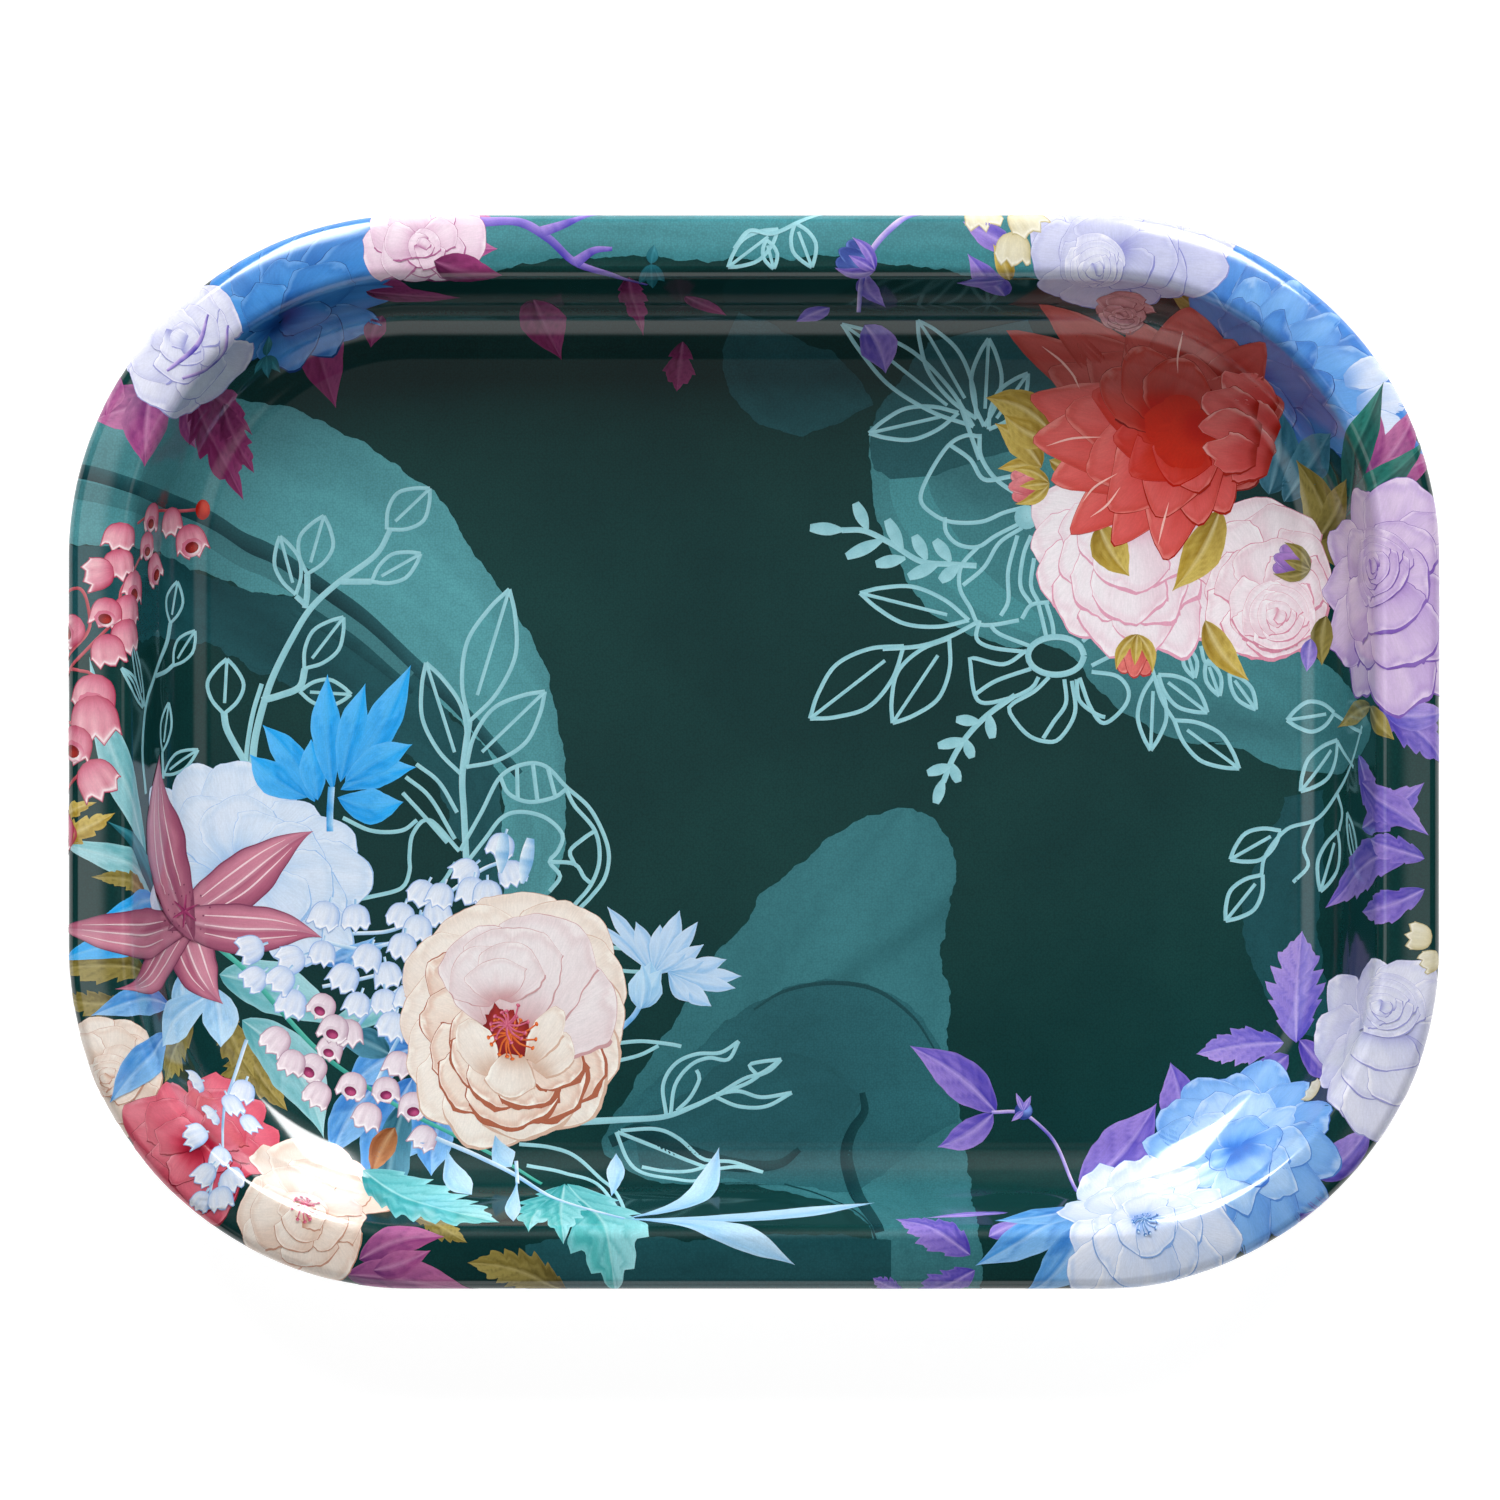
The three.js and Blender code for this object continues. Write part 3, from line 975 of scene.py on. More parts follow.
def add_lights():
    """A big low light behind the tray and a fill in front; strips and panels for the varnish to mirror."""
    softbox("key_back", 90, 58, 1.5, 1.8, 0.7, 9.3, True)
    softbox("fill_front", -90, 30, 1.5, 1.6, 1.0, 1.55, True)
    for side, name in ((1, "right"), (-1, "left")):
        strip_lamp(f"strip_{name}", (0.27 * side, 0.44, 1.00), (0.27 * side, 1.00, 0.12), 0.27, 26)
        softbox(f"panel_{name}", 90 - 90 * side, 27, 1.4, 1.2, 0.8, 1.3 - 0.4 * side)
    softbox("panel_back", 90, 32, 1.4, 1.5, 1.3, 0.55)
    softbox("panel_above", 100, 2.5, 1.4, 0.42, 0.30, 0.22)
    softbox("panel_front", -90, 70, 1.5, 2.2, 1.25, 1.5)


def add_world():
    """Faint even light from all round."""
    world = bpy.data.worlds.new("studio")
    bpy.context.scene.world = world
    world.use_nodes = True
    background = world.node_tree.nodes["Background"]
    background.inputs["Color"].default_value = (1, 1, 1, 1)
    background.inputs["Strength"].default_value = 0.04


def add_floor():
    """A wide flat floor, a hair below the tray."""
    size = 3000
    points = [(-size, -size, 0), (size, -size, 0), (size, size, 0), (-size, size, 0)]
    floor = mesh_object("floor", points, [(0, 1, 2, 3)], smooth=False)
    floor.location.z = -0.02 * MM
    floor.data.materials.append(floor_material())


def plain_view():
    """Colours shown as they are, with no film curve."""
    bpy.context.scene.view_settings.view_transform = "Standard"
    bpy.context.scene.view_settings.look = "None"


add_camera()
add_lights()
add_world()
add_floor()
plain_view()

# ---- The tray itself ----------------------------------------------------------------------------

def add_tray():
    """The printed face and the sheet under it, both closed, and the wire in the bead."""
    face_depth = 0.9 * COAT  # so that it and the sheet don't touch
    face = ring_mesh("printed_face", (0, face_depth), 150, 40)
    face.data.materials.append(ground_material())
    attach(face, "root")
    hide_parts("printed_coat")
    back = ring_mesh("pressed_sheet", (COAT, COAT + SHEET), 110, 32)
    back.data.materials.append(tinplate_material())
    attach(back, "root")
    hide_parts("pressed_pan")
    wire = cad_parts["rim_wire"]
    wire.data.materials.clear()
    wire.data.materials.append(wire_material())


ink_material("print_petal", 0.07, 0.03)
ink_material("print_leaf", 0.10, 0.05)
ink_material("print_line", 0.03, 0.04)
ink_material("print_wash", 0.06, 0.13)
add_tray()

# ---- Colours: dark, middle, light and lip or vein -----------------------------------------------

POOL = tones("2c5e65", "458a92")
TOP_POOL = tones("40767c", "5ba3aa")
RIGHT_POOL = tones("37696f", "488a90")
LOW_POOL = tones("2a5a60", "3e7a81")
DEEP_POOL = tones("173f44", "24545a")
SHADE_POOL = tones("14353a", "1b4347")
LINE = tones("86bec8", "9cd0d8")
CREAM = tones("d9bfae", "ecdfd4", "f3ebe2", "faf5ec", "d2ad98")
CREAM_HEART = tones("cf9a84", "e8cfc0", "f2e6da", "fbf4ea", "a85c44")
BLUSH_CREAM = tones("d3b3b6", "e6d8da", "efe9ea", "f6f1f0", "c9989a")
ICE = tones("a2c4e6", "c6daf0", "dbe6f5", "e9f0fa", "94bce8")
LILY = tones("7c3f5a", "b7667f", "d893a5", "ecd0d6")
AZURE = tones("1885d6", "22a3f0", "66bbf6", "b9dcf6")
WHITE_BELL = tones("86aadf", "cfdcf0", "e6ecf6", "f6f8fc")
BLUSH_BELL = tones("a8869c", "dccbd6", "f0e6ec", "faf6f8")
PINK_BELL = tones("a83450", "d2708a", "efb8c2", "fbeaec")
CRIMSON = tones("a8243a", "d2485f", "e4788a", "f3b6be", "8e1a30")
CREAM_ROSE = tones("d3ab94", "e8d6c6", "f2e8de", "fbf5ec", "c4917a")
CORNFLOWER = tones("5a9fd8", "a0c6ea", "cbdef2", "e6edf7")
CORAL = tones("b02418", "d24a48", "e0706c", "f2bcb2", "a01e12")
# A darker copy of CORAL for the red petals nearest the back wall: that wall's shade painted into their
# colour.
WALL_SHADED_CORAL = tones("8a1c14", "b8443e", "cc625c", "e09a92", "741510")
HOT = tones("b81806", "c62a14", "d2402c", "e07060")
BLUSH = tones("e0b4c4", "ecdfe6", "f1ebef", "f8f4f7", "dd9ab2")
LILAC = tones("9a78c2", "c4a8d8", "dfcbe6", "f0e2f2", "7c58b0")
CORNER_BLUE = tones("284a9c", "3672c8", "5f9ae0", "a8ccf4", "24428c")
CORNER_SKY = tones("2f62b8", "4a8cdc", "82b6ee", "c8e0fa", "2c58b0")
SKY_BLUE = tones("3c72cc", "5f9ae4", "94c2f2", "d6e8fc", "3f70c6")
PALE_SKY = tones("5a94e0", "94bff0", "bcd9f8", "e6f1fd", "5085d4")
WHITE_LILAC = tones("aaacd8", "ccd0e8", "e2e3f1", "f3f2fa", "9496d0")
# A darker copy of WHITE_LILAC for the rose on the rim, where the back light falls brightest: painted shade.
RIM_SHADED_LILAC = tones("9c9ed0", "babee0", "cccee8", "dadcf0", "8688c8")
WHITE_BLUE = tones("94b4e6", "c8d6f0", "e2e8f6", "f6f8fe", "7ea4de")
GOLD = tones("7d6120", "ae9034", "d6c06c", "f2e8bd")
OLIVE = tones("4a4222", "7d7036", "a89a58", "d0c48c")
MAGENTA = tones("5c2a62", "9c4882", "bc709e", "dcaac6")
DARK_MAGENTA = tones("4a1a3c", "802a5c", "9a4478", "b8749c")
PURPLE = tones("40369c", "6a5abc", "a68cd4", "dcc4ee")
LAVENDER = tones("4e48b4", "8070c8", "b49cdc", "e0ccf0")
TEAL = tones("26868c", "52b6b6", "a6dfe6", "dcf4f4")
PALE_TEAL = tones("4c9aa2", "7fc0c8", "add9e0", "d4edf0")
BLUE_LEAF = tones("2d67b6", "4a93da", "97c7f1", "d8eafb")
SOFT_BLUE = tones("6aa5d8", "9ccbec", "c4e1f5", "e8f3fb")
SLATE = tones("1f4c5c", "37748f", "5f9db5", "9cc9d8")
FOREST = tones("142e30", "20504c", "338074", "5fa99a")
RUST = tones("6b3b22", "9c5a36", "c48a5c", "e0bb90")
RED_STEM = tones("a03a44", "cf6a74")
GREEN_STEM = tones("2c8c80", "5fc0ae")
PLUM = tones("7a2a52", "b9507c")
WINE = tones("7e2426", "a83832")
EMBER = tones("c9502c", "ee8240")
ROSY = tones("c04a66", "e08098")
BERRY = tones("b02014", "e0442c")
PEARL_BELL = tones("b4a676", "d2c8a4", "dfdac4", "e8e4d4")
NIGHT_BUD = 2 * tones("2e3f86", "7d9be0")
DEEP_TEAL = 2 * tones("1d5a66", "3f8a98")


# ---- The picture: sprays of like shapes ---------------------------------------------------------

def leaves(ink, tone, rows, **shape):
    """Leaves from root to tip: (x, y, x, y, width, curl)."""
    for k, (x0, y0, x1, y1, width, curl) in enumerate(rows):
        leaf(ink, flat(x0, y0), flat(x1, y1), width, tone, curl, seed=k * 1.7, **shape)


def line_leaves(ink, rows, **shape):
    """Outlined leaves from root to tip: (x, y, x, y, width)."""
    for x0, y0, x1, y1, width in rows:
        line_leaf(ink, (x0, y0), (x1, y1), width, **shape)


def lines(ink, paths, width=0.5, tone=None):
    """Drawn lines through plan positions."""
    for path in paths:
        line(ink, path, width, tone=tone)


def seeds(ink, rows, tone, width=1.3):
    """Solid little leaves of a sprig, from root to tip."""
    for x0, y0, x1, y1 in rows:
        plan_stroke(ink, [(x0, y0), ((x0 + x1) / 2, (y0 + y1) / 2), (x1, y1)], width, tone, 0.25, 0.55, 0.6)


# ---- The picture: pools of thin colour ----------------------------------------------------------

def washes_left():
    """The pools of thin colour on the left."""
    pool = Ink("wash_left", "print_wash")
    top = [
        (-93, 43.5), (-83, 45.7), (-75, 47), (-67, 46.5), (-60, 45), (-53, 41.5), (-46, 37), (-42, 34),
        (-38, 28), (-34, 22), (-29, 14.5), (-26, 5), (-25, -3), (-25, -12), (-28, -22)
    ]
    light = [
        (-93, 27.5), (-84, 27), (-78, 26), (-72, 23.4), (-66, 21.3), (-59, 20), (-54, 17.5), (-50, 15),
        (-45, 11), (-42, 7.5), (-38, 3), (-35, 0), (-33.5, -4), (-33, -12), (-33, -22)
    ]
    low = [
        (-93, 10), (-84, 14), (-78, 15), (-72, 14), (-66, 11), (-60, 8), (-54, 5), (-50, 2), (-46, 0),
        (-43, -3), (-41, -6), (-40, -9), (-39, -12), (-38, -16), (-36, -22)
    ]
    wash(pool, light, low, DEEP_POOL, 0.5, 2.0, [(0.45, 0.12, 0.3, 0.5)])
    wash(pool, top, light, TOP_POOL, 0.3, 1.0, [(0.12, 0.16, 0.3, 0.5), (0.9, 0.2, 0.2, 0.35)])
    streak = [
        (-92, 37.5), (-86, 36.3), (-80, 34.3), (-74, 31.6), (-68, 28), (-64, 26.2), (-57, 21.5),
        (-52, 18), (-46, 12.5), (-40, 7), (-35, 1.5), (-31, -3)
    ]
    plan_stroke(pool, streak, 3.2, SHADE_POOL + POOL[:1], 0.7, 0.4, 0.2, 3.0)
    plan_stroke(pool, [(x + 0.6, y - 2.6) for x, y in streak[:9]], 3.0, TOP_POOL[:1], 1, 0.5)
    plan_stroke(pool, [(-61, 18.5), (-55, 15.5), (-50, 12), (-45, 8)], 1.8, DEEP_POOL, 0.4, 0.6, 0.3)
    pool.finish()


def wash_bottom():
    """The pools of thin colour along the bottom."""
    pool = Ink("wash_bottom", "print_wash")
    left = [
        (19, -7.3), (15, -8.5), (10, -11.5), (5, -15.5), (1, -19), (-1, -22.5), (-5, -26.5), (-9, -33),
        (-14, -41), (-19, -49), (-19.5, -53), (-14, -56.5), (-7, -57), (2, -57.5), (12, -60), (16, -66),
        (17, -74)
    ]
    right = [
        (21, -7.5), (24, -9.2), (26, -12), (26.6, -16), (26, -20), (25, -24), (24.7, -27), (25.6, -31),
        (25.9, -35), (25.5, -39), (26.3, -43), (27, -47), (28, -52), (28.4, -56), (29, -60), (29.8, -66),
        (30, -74)
    ]
    wash(pool, left, right, LOW_POOL, 0.3, 5.0, [(0.34, 0.03, -0.3, 0.35), (0.6, 0.2, 0.1, 0.35)])
    lobe = [
        (-19, -50), (-14, -44.5), (-8, -39.5), (-2, -34.5), (4, -31.3), (10, -30.2), (16, -31), (22, -35),
        (25.6, -41), (27, -47)
    ]
    floor = [
        (-18.5, -53), (-13, -55.5), (-8, -56), (-3, -56.5), (2, -57), (7, -57.5), (13, -58), (18, -55),
        (23, -51), (27, -49)
    ]
    wash(pool, lobe, floor, [POOL[0] * 0.86, POOL[0] * 1.08], 0.3, 7.0, [(0.5, 0.2, 0.2, 0.4)])
    hook = [(-16, -49), (-9, -45), (-4, -41), (0, -39.5), (6, -40), (11, -42), (13.5, -44.5)]
    shade = [(-15, -55), (-8, -55), (-2, -55.5), (3, -55), (8, -54), (12, -50.5), (14.2, -46)]
    wash(pool, hook, shade, [POOL[0] * 0.78, POOL[0] * 0.95], 0.2, 9.0)
    plan_stroke(pool, [
        (-19, -51.5), (-15, -50), (-10, -52.5), (-3, -54.5), (3, -54.5), (6, -52.5)
    ], 2.6, SHADE_POOL, 0.6, 0.3, 0.4)
    plan_stroke(pool, [
        (14.3, -45), (14.6, -47.5), (13, -50), (12.2, -53), (13, -57), (16.5, -63)
    ], 1.6, SHADE_POOL, 0.5, 0.8, 0.5)
    edge = [(0, -34), (4, -31.6), (10, -30.5), (16, -31.4), (21, -35), (24, -39.5)]
    plan_stroke(pool, edge, 0.7, [POOL[0] * 0.72, POOL[0] * 0.8], 0.4, 0.3, 0.5)
    wash(pool, [
        (-30, -64.6), (-20, -63.4), (-8, -64), (4, -63.2), (18, -64)
    ], [(-30, -78), (-20, -78), (-8, -78), (4, -78), (18, -78)], DEEP_POOL, 0.3, 19.0)
    plan_stroke(pool, [(4, -57), (9, -58.5), (13.5, -60.5), (16, -64)], 0.6, SHADE_POOL, 0.5, 0.5)
    pool.finish()


def washes_right():
    """The pools of thin colour on the right and at the top."""
    pool = Ink("wash_right", "print_wash")
    left = [
        (15.4, 43), (15.3, 38), (15.8, 33), (17.5, 28), (20, 23), (23, 19), (28, 15.7), (34, 14),
        (38, 14.2), (42, 12.5), (45, 9), (49, 5), (55, 2), (60, 1), (64, 0.5), (67, -1), (71, -2.5)
    ]
    right = [
        (34, 46), (38, 42), (42, 38), (46, 34), (50, 30), (54, 27), (58, 24), (62, 22), (66, 20),
        (69, 18), (72, 15), (75, 12), (78, 9), (80, 6), (81, 3), (80, 0), (77, -3)
    ]
    # Its first band darkens the pool's top end: painted shade from the back wall.
    wash(pool, left, right, RIGHT_POOL, 0.3, 11.0, [(0.1, 0.1, 0.5, 0.4), (0.85, 0.12, 0.3, 0.5)], 0.6)
    plan_stroke(pool, [
        (18, 43), (20, 38), (21, 33), (24, 28), (28, 23), (33, 19), (38, 16.5)
    ], 5.5, RIGHT_POOL[1:], 0.8, 0.5, 0.3)
    # The dark wash at the pool's top is painted shade, where the back wall's shadow falls.
    wash(pool, [(23, 54), (20, 50), (17, 46), (15.5, 42), (15.4, 38.6), (18, 36)],
         [(36, 57), (39, 51), (40, 46), (38, 42), (31, 39), (24, 36.4)],
         [DEEP_POOL[1], LOW_POOL[0]], 0.3, 21.0)
    wash(pool, [(70, -6), (68, -12), (65, -18), (64.7, -23), (66, -29), (69, -34), (72, -37)],
         [(75, -5), (75.4, -11), (75, -16), (74.6, -22), (75, -28), (76, -34), (76, -38)],
         [SHADE_POOL[1], DEEP_POOL[1] * 0.94], 0.4, 13.0)
    pool.finish()
    pool = Ink("wash_top", "print_wash")
    wash(pool, [(-4, 53), (-4, 50), (-3, 47), (-0.5, 44.4), (3, 42.6), (7, 41.8), (11, 43.5), (14, 45)],
         [(-2, 58), (1, 57), (4, 55.5), (7, 54), (10, 53), (12, 51), (14, 49), (16, 46)],
         DEEP_POOL, 0.3, 15.0)
    wash(pool, [
        (-38, 63), (-20, 65), (-5, 64.5), (10, 65), (22, 63.5), (38, 62)
    ], [(-38, 78), (-20, 78), (-5, 78), (10, 78), (22, 78), (38, 78)], POOL, 0.4, 17.0)
    pool.finish()


# ---- The picture: drawings in line --------------------------------------------------------------

def lines_left():
    """The outline drawings on the left."""
    ink = Ink("lines_left_stems", "print_line")
    line(ink, [
        (-66.3, -4), (-66, 1), (-65, 5.5), (-63.5, 10), (-61, 15), (-58.5, 19), (-55, 22.3), (-50, 26),
        (-48, 29.4)
    ], 1.0, 1, 0.7)
    line(ink, [(-67, -4), (-67, 0), (-66.2, 5), (-65, 9)], 0.6)
    line(ink, [(-54.5, 22.5), (-50.5, 22.5)], 0.8)
    line(ink, [(-59.3, 19), (-59, 21), (-59, 23.5)], 0.8)
    line(ink, [(-59, 19.2), (-60.5, 20.6)], 0.7)
    line(ink, [(-65, 6.8), (-62.5, 7.5), (-60, 8.6), (-59.3, 11)], 0.9)
    line_leaves(ink, [
        (-48.5, 29.4, -42.8, 34.8, 5.0), (-50.5, 22.5, -44, 26.2, 3.6), (-59, 23.5, -56.8, 31.2, 4.6),
        (-60.5, 20.8, -62.6, 28.5, 3.4), (-59.4, 11, -54.2, 17.8, 4.2), (-60, 8, -53.2, 7.6, 3.6),
        (-70, 5, -69.6, 12.3, 4.8)
    ])
    line(ink, [(-70, 5.2), (-69.6, 3), (-68, 0), (-66.6, -2.2)], 0.9)
    line(ink, [(-80, -5.5), (-80.4, 0), (-80, 6), (-79, 9.8), (-77.6, 14), (-77, 17)], 0.75)
    line(ink, [(-78.8, 10), (-77.6, 10.6), (-76.5, 11.6)], 0.6)
    line(ink, [(-77.9, -3.5), (-78, 0)], 0.6)
    line_leaves(ink, [
        (-77, 17, -76.1, 22.5, 3.0), (-76.6, 11.4, -73.8, 16, 2.8), (-78, 0, -77.2, 6.5, 2.4),
        (-80.2, 6, -81.8, 15, 2.0), (-80.4, 5.8, -83, 11, 1.6), (-77.8, -3, -73.4, 0.3, 2.4)
    ], line=0.42)
    ink.finish()
    ink = Ink("lines_left_spray", "print_line")
    line(ink, [(-38, -14), (-38.3, -8), (-38.5, -3), (-37.6, 4)], 0.85)
    line_leaves(ink, [
        (-37.6, 4, -32.3, 21.5, 6.6), (-38.6, -3, -43.3, 11.8, 5.4), (-38, -2, -27.6, 8, 6.2)
    ], line=0.54)
    lines(ink, [
        [(-38.8, -13), (-36, -8), (-33.5, -3.3), (-30.3, -1.6), (-27.5, -1.9), (-24.8, -4.6),
         (-21.5, -7.7), (-19.3, -12.6), (-19.6, -16.4), (-21.5, -19.1), (-23.4, -21)],
        [(-24.8, -4.9), (-23.7, -7.1), (-21, -10.4), (-20.4, -14.2), (-21.5, -17.5), (-23.7, -20.2)],
        [(-33.5, -3.3), (-32.4, -5.5), (-29.7, -6.6), (-26.4, -6), (-24.8, -4.9)],
        [(-31.3, -2), (-31.2, -6.2)], [(-29.2, -1.6), (-28.6, -6.4)], [(-27.2, -2.2), (-26.2, -6)],
        [(-38, -14.7), (-35.5, -11.5), (-33.3, -8.7), (-30.8, -7.9), (-27.5, -8.7), (-25.3, -10.9),
         (-25.9, -13.1), (-27, -14.5), (-25.6, -16.4), (-27, -18.4)],
        [(-27, -14.5), (-23.7, -14.8), (-22.4, -16.6), (-21.4, -17.4)],
        [(-21, -10.4), (-22.6, -11.5), (-24.3, -13.1), (-23.7, -14.8)],
        [(-38.9, -13.1), (-42.8, -9), (-45, -10.7), (-45.5, -13.7), (-45.5, -15.8), (-46.6, -18),
         (-50.5, -19.1), (-53.7, -19.7)], [(-39.4, -14.6), (-41.6, -17.6), (-44.6, -17.4)],
        [(-54.3, -8.7), (-50.5, -10.4), (-46.6, -10.4), (-44.5, -9)],
        [(-46, -3.3), (-42.8, -6), (-39.5, -11.5)], [(-46.4, -5.4), (-44, -8), (-40.5, -12)],
        [(-44.6, -1.6), (-41.6, -4), (-39.2, -8)]
    ], 0.54)
    ink.finish()


def lines_bottom():
    """The outline drawings along the bottom."""
    ink = Ink("lines_bottom", "print_line")
    line(ink, [
        (-24, -48.9), (-18, -48.6), (-12, -48.2), (-8, -46.8), (-5, -45.4), (-1, -43.8), (0.6, -42.8)
    ], 0.95, 1, 0.5)
    lines(ink, [
        [(0.6, -42.8), (-0.6, -41.4), (1, -40.9), (3.6, -40.6)], [(0.4, -42.8), (2.2, -42), (3.6, -40.6)],
        [(-11.6, -47.8), (-12, -44), (-10.4, -41.2), (-7.6, -39.9), (-4.4, -39.7), (-2, -38.2)],
        [(-11, -47.8), (-10.4, -44), (-8.4, -41.4), (-6, -40.4), (-3.4, -40.6), (-2, -38.2)],
        [(-10.2, -47.4), (-8.4, -45.6), (-7.2, -43.2), (-7.6, -42)],
        [(-5, -45.2), (-2, -44.8), (1, -45.6), (5, -45)],
        [(-5, -45.6), (-2, -46.8), (1.6, -46.8), (5, -45)],
        [(-5, -45.4), (-1.4, -43.2), (1, -42.4), (3.6, -40.6)],
        [(-17.6, -50), (-13, -49.8), (-10, -51), (-7, -53.6), (-5, -54), (-2.6, -54.2), (1.2, -55.5)],
        [(-18, -50.2), (-12, -52.6), (-8.6, -54), (-5.4, -55), (-2, -54.8), (1.2, -55.5)],
        [(-18.2, -50.2), (-16.6, -54), (-14.6, -55.6), (-11, -56.3), (-7.6, -56.6), (-5.6, -55.2)],
        [(-14.8, -54.8), (-11.4, -55.4), (-8.2, -55.3), (-5.2, -54.3)],
        [(-31, -51.8), (-27, -52.2), (-23.6, -53.4), (-20.4, -56.2), (-18, -58.4), (-16.6, -61.4)],
        [(-30, -54.6), (-25, -55.6), (-20, -57.6), (-17, -61.4)], [(-20, -25.6), (-17, -26), (-13, -26)],
        [(-19, -28.7), (-16, -29), (-12, -29)], [(-19, -38.6), (-15, -38.2), (-11, -38.6), (-9.6, -38.9)],
        [(-18, -40.8), (-15, -40), (-12.6, -38.8)]
    ])
    ink.finish()


